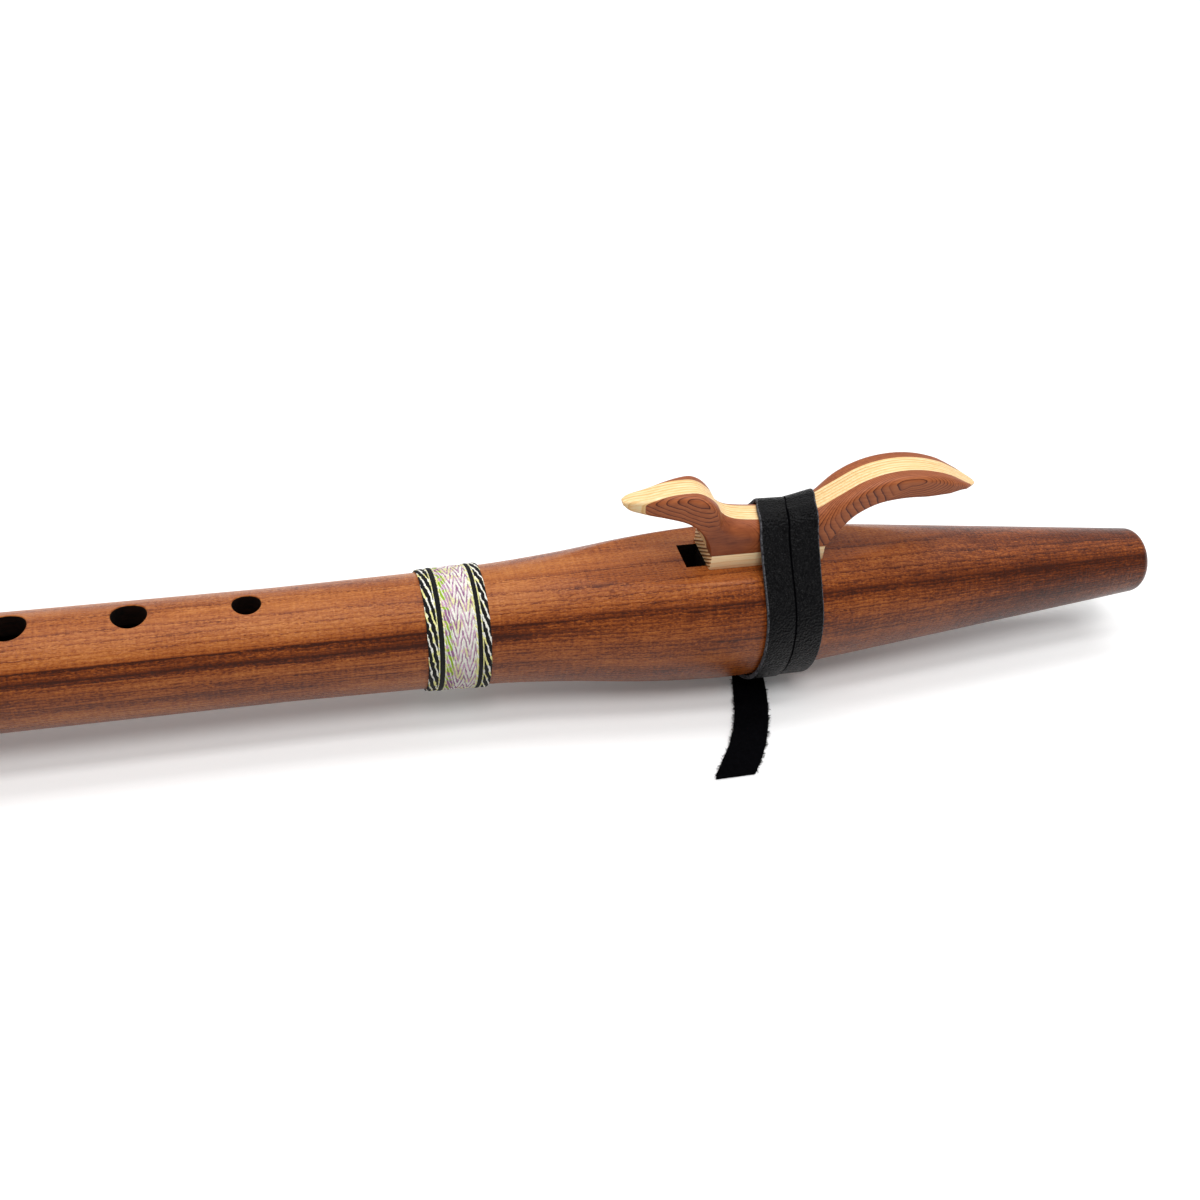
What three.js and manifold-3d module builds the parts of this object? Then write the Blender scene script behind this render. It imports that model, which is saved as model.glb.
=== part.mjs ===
// Native american flute: a two-chamber duct flute of satin-finished softwood, with a carved bird block tied
// over the flue by one black leather strap, and a woven band glued round the tube.
// Millimetres, +Z up. The bore runs along X with the mouth end at +X, and the finger holes face +Z. The origin
// is midway along and across the flute, on the surface that it lies on.
import * as THREE from "three";
import { mergeVertices } from "three/addons/utils/BufferGeometryUtils.js";
import Module from "manifold-3d";

const wasm = await Module();
wasm.setup();

// Outside of the body. Places along the bore count from the splitting edge: the foot is at -X, the mouth at +X.
const soundChamberLength = 350;
const mouthLength = 177.5;
const tubeRadius = 18;
const flareStart = -130;
const bellyPlace = 12;
const bellyRadius = 25.9;
const conePlace = 31;
const coneRadius = 25.35;
const mouthRadius = 11.7;
const mouthEase = 3.6;
const footEase = 1.4;
const nestHeight = 20.8;
// The swell from the tube to the belly, and the crest from the belly to the cone: along, then outward.
const flareShares = [[0, 0], [0.21, 0.06], [0.33, 0.105], [0.49, 0.21], [0.63, 0.41], [0.71, 0.57],
  [0.78, 0.72], [0.85, 0.84], [0.92, 0.93], [1, 1]];
const crestShares = [[0, 0], [0.32, 0.04], [0.66, 0.34], [1, 1]];

// Inside of the body: the sound chamber, the plug left between the chambers, and the slow air chamber.
const boreRadius = 11;
const plugLength = 14;
const airChamberRadius = 9.5;
const airChamberLength = 95;
const airTaperLength = 30;
const breathHoleRadius = 3.5;
// Sound hole, flue and the air chamber's exit, all cut in the nest.
const soundHoleWidth = 11.8;
const soundHoleLength = 7.2;
const edgeLip = 0.8;
const undercutRun = 9;
const flueDepth = 1.3;
const flueLength = 22;
const exitHoleLength = 8;
const boreEndWall = 2;
// Five finger holes, counted from the one nearest the block.
const firstHolePlace = -138.4;
const holeSpacing = 34;
const fingerHoleRadii = [4.35, 5.25, 5.6, 5.1, 4.6];
const holeEase = 0.7;
const lipSpreadShare = 0.55;

// Woven band.
const bandPlace = -85.7;
const bandWidth = 19.8;
const bandThickness = 0.8;
const bandClearance = 0.2;
const bandSeam = 0.5;

// Bird block: a base plate, a core and two cheeks, carved as one.
const blockFront = 6.8;
const baseLength = 40;
const baseThickness = 5.5;
const baseCorner = 0.8;
const blockHalfWidth = 8.35;
const coreHalfWidth = 3.8;
const noseReach = 29.4;
const blockLength = 122.9;
const blockHeight = 24.8;
const crownRoll = 2.2;
const saddleRoll = 6.2;
const bellyRoll = 1.5;
const glueEase = 0.15;
// Side view of the block from nose to tail: top x, top z, underside x, underside z, half width.
const blockShares = [
  [0.000, 0.770, 0.002, 0.718, 0.14],
  [0.021, 0.806, 0.023, 0.645, 0.32],
  [0.062, 0.831, 0.066, 0.593, 0.49],
  [0.111, 0.879, 0.115, 0.552, 0.65],
  [0.155, 0.903, 0.166, 0.488, 0.79],
  [0.190, 0.895, 0.199, 0.387, 0.90],
  [0.218, 0.831, 0.220, 0.246, 0.97],
  [0.246, 0.710, 0.233, 0.109, 1],
  [0.265, 0.569, 0.239, 0, 1],
  [0.302, 0.464, 0.290, 0, 1],
  [0.367, 0.415, 0.367, 0, 1],
  [0.440, 0.403, 0.444, 0, 1],
  [0.493, 0.440, 0.509, 0, 1],
  [0.542, 0.536, 0.565, 0, 1],
  [0.595, 0.698, 0.587, 0.165, 1],
  [0.648, 0.863, 0.627, 0.431, 1],
  [0.705, 0.964, 0.688, 0.601, 1],
  [0.770, 1.000, 0.762, 0.657, 1],
  [0.835, 0.968, 0.835, 0.649, 0.99],
  [0.900, 0.875, 0.900, 0.653, 0.92],
  [0.957, 0.730, 0.957, 0.649, 0.65],
  [1.000, 0.629, 0.999, 0.617, 0.10],
];
// Rows between which the top's roll goes over to the rounder saddle, and back to the tail.
const saddleRows = [6.3, 8.2, 13, 14.4];
// The underside is three runs: the head to the foot of the neck, the glued foot, and the tail.
const undersideRuns = [[0, 8], [8, 13], [13, 21]];

// Leather strap: one strip that goes twice round the block and body and is tied on the far side.
const strapWidth = 9.4;
const strapThickness = 1.5;
const strapGap = 0.5;
const strapClearance = 0.3;
const strapPlace = 32.9;
const blockTravel = 3;
const tailReach = 53;
const knotWidth = 4;
const knotThickness = 3.2;
const knotCoreRadius = 2.75;

// Workshop values: overrun for cuts, and the distance under which points of a mesh are one.
const overrun = 4;
const weldDistance = 1e-4;
const bodySides = 48;
const holeSides = 24;
const flareSteps = 26;
const crestSteps = 6;
const easeSteps = 4;
const bandSteps = 6;
const blockStepsPerRow = 3;
const cornerSteps = 4;

// Places and heights worked out from the sizes above.
const overallLength = soundChamberLength + mouthLength;
const boreEnd = soundHoleLength + boreEndWall;
const airChamberStart = boreEnd + plugLength;
const baseTop = nestHeight + baseThickness;
const noseTip = blockFront - noseReach;
const strapPitch = strapWidth + strapGap;
const strapLayer = strapThickness + strapGap;
const leftWrap = strapPlace - strapPitch / 2;
const rightWrap = strapPlace + strapPitch / 2;

const wood = new THREE.MeshStandardMaterial({ color: "#8a4a2c", roughness: 0.45, metalness: 0 });
const paleWood = new THREE.MeshStandardMaterial({ color: "#d9a56a", roughness: 0.5, metalness: 0 });
const cheekWood = new THREE.MeshStandardMaterial({ color: "#8f5233", roughness: 0.5, metalness: 0 });
const leather = new THREE.MeshStandardMaterial({ color: "#17171a", roughness: 0.7, metalness: 0 });
const weaving = new THREE.MeshStandardMaterial({ color: "#cdbfb4", roughness: 0.9, metalness: 0 });

const mix = THREE.MathUtils.lerp;
const ease = THREE.MathUtils.smoothstep;

// Solids and meshes.
function solidOf(geometry) {
  const bare = geometry.index ? geometry.toNonIndexed() : geometry.clone();
  bare.deleteAttribute("normal");
  bare.deleteAttribute("uv");
  const merged = mergeVertices(bare, weldDistance);
  const triVerts = [];
  for (let i = 0; i < merged.index.count; i += 3) {
    const corners = [0, 1, 2].map((k) => merged.index.getX(i + k));
    if (new Set(corners).size === 3) triVerts.push(...corners);
  }
  return new wasm.Manifold(new wasm.Mesh({
    numProp: 3,
    vertProperties: merged.attributes.position.array,
    triVerts: new Uint32Array(triVerts),
  }));
}

function meshOf(name, solid, material) {
  const made = solid.getMesh();
  const geometry = new THREE.BufferGeometry();
  geometry.setAttribute("position", new THREE.BufferAttribute(made.vertProperties, made.numProp));
  geometry.setIndex(new THREE.BufferAttribute(made.triVerts, 1));
  geometry.computeVertexNormals();
  const mesh = new THREE.Mesh(geometry, material);
  mesh.name = name;
  return mesh;
}

function boxBetween(low, high) {
  const size = high.map((value, i) => value - low[i]);
  const middle = high.map((value, i) => (value + low[i]) / 2);
  return solidOf(new THREE.BoxGeometry(...size).translate(...middle));
}

// A solid turned about the bore, from points of radius and place along the bore.
function turned(points, sides) {
  return solidOf(new THREE.LatheGeometry(points, sides).rotateZ(-Math.PI / 2));
}

// A skin over rings of points, closed by a flat end on the first and last ring.
function lofted(rings) {
  const round = rings[0].length;
  const corners = [];
  const face = (a, b, c) => corners.push(a, b, c);
  for (let i = 1; i < rings.length; i++) {
    for (let j = 0; j < round; j++) {
      const k = (j + 1) % round;
      face(rings[i - 1][j], rings[i - 1][k], rings[i][k]);
      face(rings[i - 1][j], rings[i][k], rings[i][j]);
    }
  }
  const last = rings[rings.length - 1];
  for (let j = 2; j < round; j++) {
    face(rings[0][0], rings[0][j], rings[0][j - 1]);
    face(last[0], last[j - 1], last[j]);
  }
  return solidOf(new THREE.BufferGeometry().setFromPoints(corners));
}

// Body: its outline is turned, then the nest, chambers and holes are cut, and it is split where it was glued.
function bodyOutline() {
  const at = (radius, place) => new THREE.Vector2(radius, place);
  const swell = flareShares.map(([along, out]) =>
    at(mix(tubeRadius, bellyRadius, out), mix(flareStart, bellyPlace, along)));
  const crest = crestShares.map(([along, out]) =>
    at(mix(bellyRadius, coneRadius, out), mix(bellyPlace, conePlace, along)));
  const points = [at(0, -soundChamberLength)];
  for (let i = 0; i <= easeSteps; i++) {
    const turn = (i / easeSteps) * Math.PI / 2;
    points.push(at(tubeRadius - footEase * (1 - Math.sin(turn)), -soundChamberLength + footEase * (1 - Math.cos(turn))));
  }
  points.push(...new THREE.SplineCurve(swell).getPoints(flareSteps));
  points.push(...new THREE.SplineCurve(crest).getPoints(crestSteps).slice(1));
  for (let i = 0; i <= easeSteps; i++) {
    const turn = (i / easeSteps) * Math.PI / 2;
    points.push(at(mouthRadius - mouthEase * (1 - Math.cos(turn)), mouthLength - mouthEase * (1 - Math.sin(turn))));
  }
  points.push(at(0, mouthLength));
  return points;
}

const outline = bodyOutline();

// The body's outer radius at a place along the bore.
function bodyRadius(place) {
  const next = Math.max(1, outline.findIndex((point) => point.y > place));
  const [before, after] = [outline[next - 1], outline[next]];
  return mix(before.x, after.x, (place - before.y) / (after.y - before.y));
}

function chambers() {
  const at = (radius, place) => new THREE.Vector2(radius, place);
  const bore = turned([
    at(0, -soundChamberLength - overrun), at(boreRadius, -soundChamberLength - overrun),
    at(boreRadius, boreEnd), at(0, boreEnd),
  ], bodySides);
  const taperStart = airChamberStart + airChamberLength;
  const airChamber = turned([
    at(0, airChamberStart), at(airChamberRadius, airChamberStart), at(airChamberRadius, taperStart),
    at(breathHoleRadius, taperStart + airTaperLength), at(breathHoleRadius, mouthLength + overrun),
    at(0, mouthLength + overrun),
  ], bodySides);
  return bore.add(airChamber);
}

function nestCuts() {
  const side = soundHoleWidth / 2;
  const above = bellyRadius + overrun;
  const nest = boxBetween([-soundChamberLength, -above, nestHeight], [mouthLength, above, above]);
  const soundHole = boxBetween([0, -side, 0], [soundHoleLength, side, above]);
  const flue = boxBetween([soundHoleLength, -side, nestHeight - flueDepth], [soundHoleLength + flueLength, side, above]);
  const exitEnd = soundHoleLength + flueLength + exitHoleLength;
  const exitHole = boxBetween([soundHoleLength + flueLength, -side, 0], [exitEnd, side, above]);
  return nest.add(soundHole).add(flue).add(exitHole).add(undercut(side));
}

// The ramp cut from inside that leaves the splitting edge a thin lip.
function undercut(side) {
  const ramp = new THREE.Shape();
  ramp.moveTo(0, nestHeight - edgeLip);
  ramp.lineTo(-undercutRun, boreRadius / 2);
  ramp.lineTo(soundHoleLength / 2, boreRadius / 2);
  ramp.lineTo(soundHoleLength / 2, nestHeight - edgeLip);
  const wedge = new THREE.ExtrudeGeometry(ramp, { depth: 2 * side, bevelEnabled: false });
  return solidOf(wedge.rotateX(Math.PI / 2).translate(0, side, 0));
}

function fingerHole(index) {
  const radius = fingerHoleRadii[index];
  const place = firstHolePlace - index * holeSpacing;
  const through = new THREE.CylinderGeometry(radius, radius, tubeRadius + overrun, holeSides);
  through.rotateX(Math.PI / 2).translate(place, 0, (tubeRadius + overrun) / 2);
  // The lip is eased by a cone that starts a little below the lowest place of the rim.
  const rim = Math.sqrt(tubeRadius ** 2 - radius ** 2) - holeEase;
  const depth = tubeRadius + overrun - rim;
  const lip = new THREE.CylinderGeometry(radius + depth * lipSpreadShare, radius, depth, holeSides);
  lip.rotateX(Math.PI / 2).translate(place, 0, rim + depth / 2);
  return solidOf(through).add(solidOf(lip));
}

function bodyHalves() {
  let body = turned(outline, bodySides).subtract(chambers()).subtract(nestCuts());
  for (let i = 0; i < fingerHoleRadii.length; i++) body = body.subtract(fingerHole(i));
  const out = bellyRadius + overrun;
  const foot = -soundChamberLength - overrun;
  const mouth = mouthLength + overrun;
  return [
    meshOf("body_upper_half", body.intersect(boxBetween([foot, -out, 0], [mouth, out, out])), wood),
    meshOf("body_lower_half", body.intersect(boxBetween([foot, -out, -out], [mouth, out, 0])), wood),
  ];
}

// Woven band: it follows the flaring tube, a little thinner at both selvedges, and its ends meet underneath.
function wovenBand() {
  const outer = [];
  const inner = [];
  for (let i = 0; i <= bandSteps; i++) {
    const place = bandPlace + (bandWidth * i) / bandSteps;
    const radius = bodyRadius(place) + bandClearance;
    const thickness = i % bandSteps === 0 ? bandThickness / 2 : bandThickness;
    outer.push(new THREE.Vector2(radius + thickness, place));
    inner.unshift(new THREE.Vector2(radius, place));
  }
  const ring = turned([...outer, ...inner, outer[0]], bodySides);
  const far = bellyRadius + overrun;
  const seam = boxBetween([bandPlace - overrun, -bandSeam / 2, -far], [bandPlace + bandWidth + overrun, bandSeam / 2, 0]);
  return meshOf("woven_band", ring.subtract(seam), weaving);
}

// Block. Rails run along its top and its underside, and a row number says how far along both a section is.
function railPoint(rows, x, z, row) {
  const points = rows.map((share) =>
    new THREE.Vector2(noseTip + share[x] * blockLength, baseTop + share[z] * blockHeight));
  return new THREE.SplineCurve(points).getPoint(row / (rows.length - 1));
}

function topRail(row) {
  return railPoint(blockShares, 0, 1, row);
}

function undersideRail(row) {
  const [first, last] = undersideRuns.find((run) => row <= run[1]);
  const point = railPoint(blockShares.slice(first, last + 1), 2, 3, row - first);
  return new THREE.Vector2(point.x, Math.max(point.y, baseTop));
}

function halfWidthAt(row) {
  const low = Math.min(Math.floor(row), blockShares.length - 2);
  return blockHalfWidth * mix(blockShares[low][4], blockShares[low + 1][4], row - low);
}

// The block's top at a place along the bore, found between the rows on both sides of it.
function blockTopAt(place) {
  let low = 0;
  let high = blockShares.length - 1;
  for (let i = 0; i < 40; i++) {
    const middle = (low + high) / 2;
    if (topRail(middle).x < place) low = middle;
    else high = middle;
  }
  return topRail(low).y;
}

// How far a section's top has gone over to the saddle's roll.
function saddleShare(row) {
  const [neck, saddleStart, saddleEnd, tail] = saddleRows;
  return ease(row, neck, saddleStart) - ease(row, saddleEnd, tail);
}

function blockSection(row) {
  const top = topRail(row);
  const under = undersideRail(row);
  const half = halfWidthAt(row);
  const up = top.clone().sub(under);
  const height = up.length();
  up.normalize();
  const most = Math.min(half, height) * 0.45;
  const crown = mix(Math.min(crownRoll, most), saddleRoll, saddleShare(row));
  const keel = Math.min(bellyRoll, most, glueEase + (under.y - baseTop) / 2);
  const ring = [];
  const corner = (side, edge, roll, turn) => {
    for (let i = 0; i <= cornerSteps; i++) {
      const angle = (turn + i / cornerSteps) * Math.PI / 2;
      const across = side * (half - roll) + roll * Math.cos(angle);
      const raise = edge + roll * Math.sin(angle);
      ring.push(new THREE.Vector3(under.x + up.x * raise, across, under.y + up.y * raise));
    }
  };
  corner(1, height - crown, crown, 0);
  corner(-1, height - crown, crown, 1);
  corner(-1, keel, keel, 2);
  corner(1, keel, keel, 3);
  return ring;
}

function birdBlock() {
  const rings = [];
  const last = blockShares.length - 1;
  for (let i = 0; i <= last * blockStepsPerRow; i++) rings.push(blockSection(i / blockStepsPerRow));
  const carved = lofted(rings);
  const slice = (low, high) => carved.intersect(boxBetween(
    [noseTip - overrun, low, nestHeight], [noseTip + blockLength + overrun, high, baseTop + blockHeight + overrun]));
  return [
    meshOf("block_core", slice(-coreHalfWidth, coreHalfWidth), paleWood),
    meshOf("block_near_cheek", slice(-blockHalfWidth - overrun, -coreHalfWidth), cheekWood),
    meshOf("block_far_cheek", slice(coreHalfWidth, blockHalfWidth + overrun), cheekWood),
  ];
}

function blockBase() {
  const [near, far] = [-blockHalfWidth, blockHalfWidth];
  const [front, back] = [blockFront, blockFront + baseLength];
  const plan = new THREE.Shape();
  plan.moveTo(front + baseCorner, near);
  plan.lineTo(back - baseCorner, near);
  plan.absarc(back - baseCorner, near + baseCorner, baseCorner, -Math.PI / 2, 0);
  plan.lineTo(back, far - baseCorner);
  plan.absarc(back - baseCorner, far - baseCorner, baseCorner, 0, Math.PI / 2);
  plan.lineTo(front + baseCorner, far);
  plan.absarc(front + baseCorner, far - baseCorner, baseCorner, Math.PI / 2, Math.PI);
  plan.lineTo(front, near + baseCorner);
  plan.absarc(front + baseCorner, near + baseCorner, baseCorner, Math.PI, Math.PI * 1.5);
  const plate = new THREE.ExtrudeGeometry(plan, { depth: baseThickness, bevelEnabled: false, curveSegments: 3 });
  return meshOf("block_base", solidOf(plate.translate(0, 0, nestHeight)), paleWood);
}

// Strap. A belt is the line of the strap's middle round the body and over the block: it lies on the body,
// runs straight up to the block's rolled edge, turns over it and crosses the top.
function beltShape(place) {
  const body = bodyRadius(place - strapWidth / 2 - blockTravel) + strapClearance + strapThickness / 2;
  const [low, high] = [blockTopAt(place - strapWidth / 2), blockTopAt(place + strapWidth / 2)];
  const small = saddleRoll + strapClearance + strapThickness / 2;
  const across = blockHalfWidth - saddleRoll;
  const raise = (low + high) / 2 - saddleRoll;
  const spread = Math.hypot(across, raise);
  const normal = Math.atan2(raise, across) - Math.acos((body - small) / spread);
  const bridge = Math.sqrt(spread ** 2 - (body - small) ** 2);
  return { body, small, across, raise, normal, bridge, lean: (high - low) / strapWidth };
}

// A place on the belt: how many turns from the bottom, up the far side first, and how far off it outwards.
function onBelt(turns, place, lift) {
  const belt = beltShape(place);
  const part = turns - Math.floor(turns);
  const side = part < 0.5 ? 1 : -1;
  const quarter = Math.PI / 2;
  const runs = [belt.body * (belt.normal + quarter), belt.bridge, belt.small * (quarter - belt.normal), belt.across];
  let left = (side > 0 ? 2 * part : 2 - 2 * part) * runs.reduce((sum, run) => sum + run);
  let run = 0;
  while (run < 3 && left > runs[run]) left -= runs[run++];
  const angle = [left / belt.body - quarter, belt.normal, belt.normal + left / belt.small, quarter][run];
  const normal = new THREE.Vector3(0, Math.cos(angle), Math.sin(angle));
  const point = new THREE.Vector3(place, 0, 0);
  if (run > 1) point.add(new THREE.Vector3(0, run === 3 ? belt.across - left : belt.across, belt.raise));
  point.addScaledVector(normal, (run > 1 ? belt.small : belt.body) + lift);
  if (run === 1) point.add(new THREE.Vector3(0, -Math.sin(angle), Math.cos(angle)).multiplyScalar(left));
  const lean = belt.lean * normal.z * ease(point.z, belt.body / 2, belt.raise);
  point.y *= side;
  normal.y *= side;
  return { point, normal: normal.sub(new THREE.Vector3(lean, 0, 0)).normalize() };
}

// Shares of the half belt between the bottom and the top where the knot starts and ends, in turns.
const knotStartShare = 0.113;
const knotEndShare = 0.2525;
const knotLift = strapThickness / 2 + strapGap + knotCoreRadius + Math.hypot(knotWidth, knotThickness) / 2;
const innerLift = knotLift - knotCoreRadius;
const outerLift = knotLift + knotCoreRadius;
const floorLine = -(beltShape(leftWrap).body + strapLayer);
const floorLift = -floorLine - beltShape(strapPlace).body;
const floorHeight = floorLine - strapThickness / 2;

// The strap's width and thickness, from flat to drawn together for the knot.
function sectionSize(drawn) {
  return { width: mix(strapWidth, knotWidth, drawn), thickness: mix(strapThickness, knotThickness, drawn) };
}

function beltStation(turns, place, lift, drawn) {
  return { ...onBelt(turns, place, lift), ...sectionSize(drawn) };
}

// One strand of the half knot: it winds one and a half times round the other from start to end.
function knotStation(along, startAngle) {
  const twist = ease(along, 0, 1);
  const { point, normal } = onBelt(mix(knotStartShare, knotEndShare, along), strapPlace, knotLift);
  const swing = (angle) => normal.clone().multiplyScalar(Math.cos(angle)).add(new THREE.Vector3(Math.sin(angle), 0, 0));
  point.addScaledVector(swing(startAngle + twist * Math.PI * 3), knotCoreRadius);
  return { point, normal: swing(twist * Math.PI * 2), ...sectionSize(1) };
}

// The near tail lies on the floor: along and across, in shares of its reach.
const nearTailShares = [[-0.531, -1.12], [-0.458, -1], [-0.313, -0.79], [-0.216, -0.6], [-0.147, -0.4],
  [-0.085, -0.15], [-0.066, 0]];
// The far tail, from the top of the knot: outward in shares of what is left of its reach, and down in shares
// of its height over the floor.
const farTailShares = [[0, 0], [0.05, -0.12], [0.24, -0.2], [0.44, -0.12], [0.57, 0.14], [0.64, 0.5],
  [0.71, 0.84], [0.85, 0.99], [1, 1], [1.25, 1]];

function nearTail(count) {
  const route = new THREE.CatmullRomCurve3(nearTailShares.map(([along, across]) =>
    new THREE.Vector3(strapPlace + along * tailReach, across * tailReach, floorLine)));
  return route.getSpacedPoints(count).map((point) => ({ point, ...sectionSize(0) }));
}

// The far tail leaves the top of the knot, curls over and hangs to the floor.
function farTail(count) {
  const { point } = knotStation(1, Math.PI);
  const drop = point.z - floorLine;
  const reach = tailReach - point.y;
  const places = farTailShares.map(([out, down]) =>
    new THREE.Vector3(strapPlace, point.y + out * reach, point.z - down * drop));
  const route = new THREE.CatmullRomCurve3(places);
  return route.getSpacedPoints(count).slice(1).map((place, i) => {
    place.z = Math.max(place.z, floorLine);
    return { point: place, ...sectionSize(1 - ease((i + 1) / count, 0, 0.35)) };
  });
}

function strapStations() {
  const stations = nearTail(20);
  const stage = (count, make) => {
    for (let i = 1; i <= count; i++) stations.push(make(i / count));
  };
  const belly = 0.008;
  stage(8, (along) => {
    const turns = mix(belly, knotStartShare, along);
    const place = mix(strapPlace + nearTailShares[6][0] * tailReach, strapPlace, ease(along, 0, 1));
    const { point, width, thickness } = beltStation(
      turns, place, mix(floorLift, outerLift, ease(along, 0, 1)), ease(along, 0.45, 1));
    point.z = Math.max(point.z, floorLine + (thickness - strapThickness) / 2);
    return { point, width, thickness };
  });
  stage(20, (along) => knotStation(along, 0));
  stage(20, (along) => beltStation(mix(knotEndShare, 0.5, along), mix(strapPlace, leftWrap, ease(along, 0, 0.5)),
    mix(innerLift, 0, ease(along, 0.06, 0.78)), 1 - ease(along, 0, 0.4)));
  stage(44, (along) => beltStation(mix(0.5, 1, along), leftWrap, 0, 0));
  stage(44, (along) => beltStation(mix(1, 1.5, along), mix(leftWrap, rightWrap, ease(along, 0.2, 0.66)), 0, 0));
  stage(44, (along) => beltStation(mix(1.5, 2, along), rightWrap, 0, 0));
  stage(10, (along) => beltStation(mix(2, 2 + knotStartShare, along), mix(rightWrap, strapPlace, ease(along, 0.5, 1)),
    mix(0, innerLift, ease(along, 0.05, 1)), ease(along, 0.35, 1)));
  stage(20, (along) => knotStation(along, Math.PI));
  stations.push(...farTail(34));
  return stations;
}

// Each station gets its heading and a square frame of width and normal across it. Where the strap runs free,
// its outer face is the one away from the bore.
function framed(stations) {
  return stations.map((station, i) => {
    const before = stations[Math.max(i - 1, 0)].point;
    const after = stations[Math.min(i + 1, stations.length - 1)].point;
    const heading = after.clone().sub(before).normalize();
    const outward = station.normal || new THREE.Vector3(0, heading.z, -heading.y);
    const normal = outward.clone().addScaledVector(heading, -outward.dot(heading)).normalize();
    return { ...station, heading, normal, across: normal.clone().cross(heading) };
  });
}

function strapRing({ point, normal, across, width, thickness }) {
  const [a, b] = [width / 2, thickness / 2];
  const cut = b * 0.35;
  const corners = [[a, b - cut], [a - cut, b], [cut - a, b], [-a, b - cut], [-a, cut - b], [cut - a, -b], [a - cut, -b], [a, cut - b]];
  return corners.map(([u, v]) => point.clone().addScaledVector(across, u).addScaledVector(normal, v));
}

// The least gap between two stretches of the strap that aren't neighbours, from the points of each ring to
// the sections of the others.
function leastGap(stations, rings) {
  const apart = 2 * strapWidth;
  const travelled = [0];
  for (let i = 1; i < stations.length; i++) {
    travelled.push(travelled[i - 1] + stations[i].point.distanceTo(stations[i - 1].point));
  }
  let least = Infinity;
  rings.forEach((ring, i) => stations.forEach((other, j) => {
    if (Math.abs(travelled[i] - travelled[j]) < apart) return;
    for (const corner of ring) {
      const offset = corner.clone().sub(other.point);
      if (Math.abs(offset.dot(other.heading)) > strapThickness) continue;
      const sideways = Math.max(Math.abs(offset.dot(other.across)) - other.width / 2, 0);
      const outward = Math.max(Math.abs(offset.dot(other.normal)) - other.thickness / 2, 0);
      least = Math.min(least, Math.hypot(sideways, outward));
    }
  }));
  return least;
}

function leatherStrap() {
  const stations = framed(strapStations());
  const rings = stations.map(strapRing);
  console.log("least gap of the strap to itself: " + leastGap(stations, rings).toFixed(2) + " mm");
  const low = floorHeight;
  const high = baseTop + blockHeight;
  const room = boxBetween([blockFront - tailReach, -tailReach, low], [blockFront + blockLength, tailReach, high]);
  return meshOf("leather_strap", lofted(rings).intersect(room), leather);
}

const flute = new THREE.Group();
flute.add(...bodyHalves(), wovenBand(), blockBase(), ...birdBlock(), leatherStrap());
flute.position.set(soundChamberLength - overallLength / 2, 0, -floorHeight);

export default flute;
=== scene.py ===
import math
import random
from functools import partial
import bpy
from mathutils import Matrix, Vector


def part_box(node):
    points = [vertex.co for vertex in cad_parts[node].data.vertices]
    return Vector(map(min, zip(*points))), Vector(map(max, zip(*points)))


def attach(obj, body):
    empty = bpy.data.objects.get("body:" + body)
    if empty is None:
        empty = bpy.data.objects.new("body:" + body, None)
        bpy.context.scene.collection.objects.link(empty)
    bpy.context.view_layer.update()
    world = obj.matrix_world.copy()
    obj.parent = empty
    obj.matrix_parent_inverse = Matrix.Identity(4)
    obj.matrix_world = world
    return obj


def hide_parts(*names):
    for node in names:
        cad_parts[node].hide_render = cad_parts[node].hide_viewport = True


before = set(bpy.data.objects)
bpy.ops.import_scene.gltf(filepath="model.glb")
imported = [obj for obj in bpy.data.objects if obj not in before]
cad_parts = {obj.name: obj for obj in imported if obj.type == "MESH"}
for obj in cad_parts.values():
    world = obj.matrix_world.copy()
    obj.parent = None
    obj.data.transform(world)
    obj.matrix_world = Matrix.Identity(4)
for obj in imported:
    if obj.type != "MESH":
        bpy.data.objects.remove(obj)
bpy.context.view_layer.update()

from types import SimpleNamespace

import bmesh
import bpy
from mathutils import Matrix, Vector

bl_info = {
    "name": "Native American Flute",
    "version": (1, 0, 0),
    "blender": (4, 5, 0),
    "location": "View3D > Sidebar > Flute",
    "description": "Dresses the packed frame of a cedar flute: body, bird block, strap, woven band and stage",
    "category": "Add Mesh",
}

MM = 0.001
# Sizes are worked in millimetres from the splitting edge, on the bore's axis, and moved to the frame at the end.
SOUND_CHAMBER, WELD = 350, 1e-5
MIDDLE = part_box("body_upper_half")[0][0] / MM + SOUND_CHAMBER
AXIS_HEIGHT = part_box("body_upper_half")[0][2] / MM
TO_FRAME = Matrix.Scale(MM, 4) @ Matrix.Translation((MIDDLE, 0, AXIS_HEIGHT))


# Small tools.
def linear(value):
    """An sRGB hex value as a linear colour. Any other value stays as it is."""
    if not isinstance(value, str):
        return value
    values = [int(value[i:i + 2], 16) / 255 for i in (1, 3, 5)]
    return tuple(v / 12.92 if v <= 0.04045 else ((v + 0.055) / 1.055) ** 2.4 for v in values) + (1,)


def mix(a, b, share):
    return a + (b - a) * share


def ease(value, low, high):
    share = min(max((value - low) / (high - low), 0), 1)
    return share * share * (3 - 2 * share)


def spline(points, share):
    """A place on the smooth curve through the points, at a share of their count."""
    last = len(points) - 1
    place = min(max(share, 0), 1) * last
    i = min(int(place), last - 1)
    w = place - i
    a, b, c, d = (points[min(max(k, 0), last)] for k in (i - 1, i, i + 1, i + 2))
    start, end = (c - a) / 2, (d - b) / 2
    return (2 * b - 2 * c + start + end) * w ** 3 + (3 * c - 3 * b - 2 * start - end) * w ** 2 + start * w + b


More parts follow.
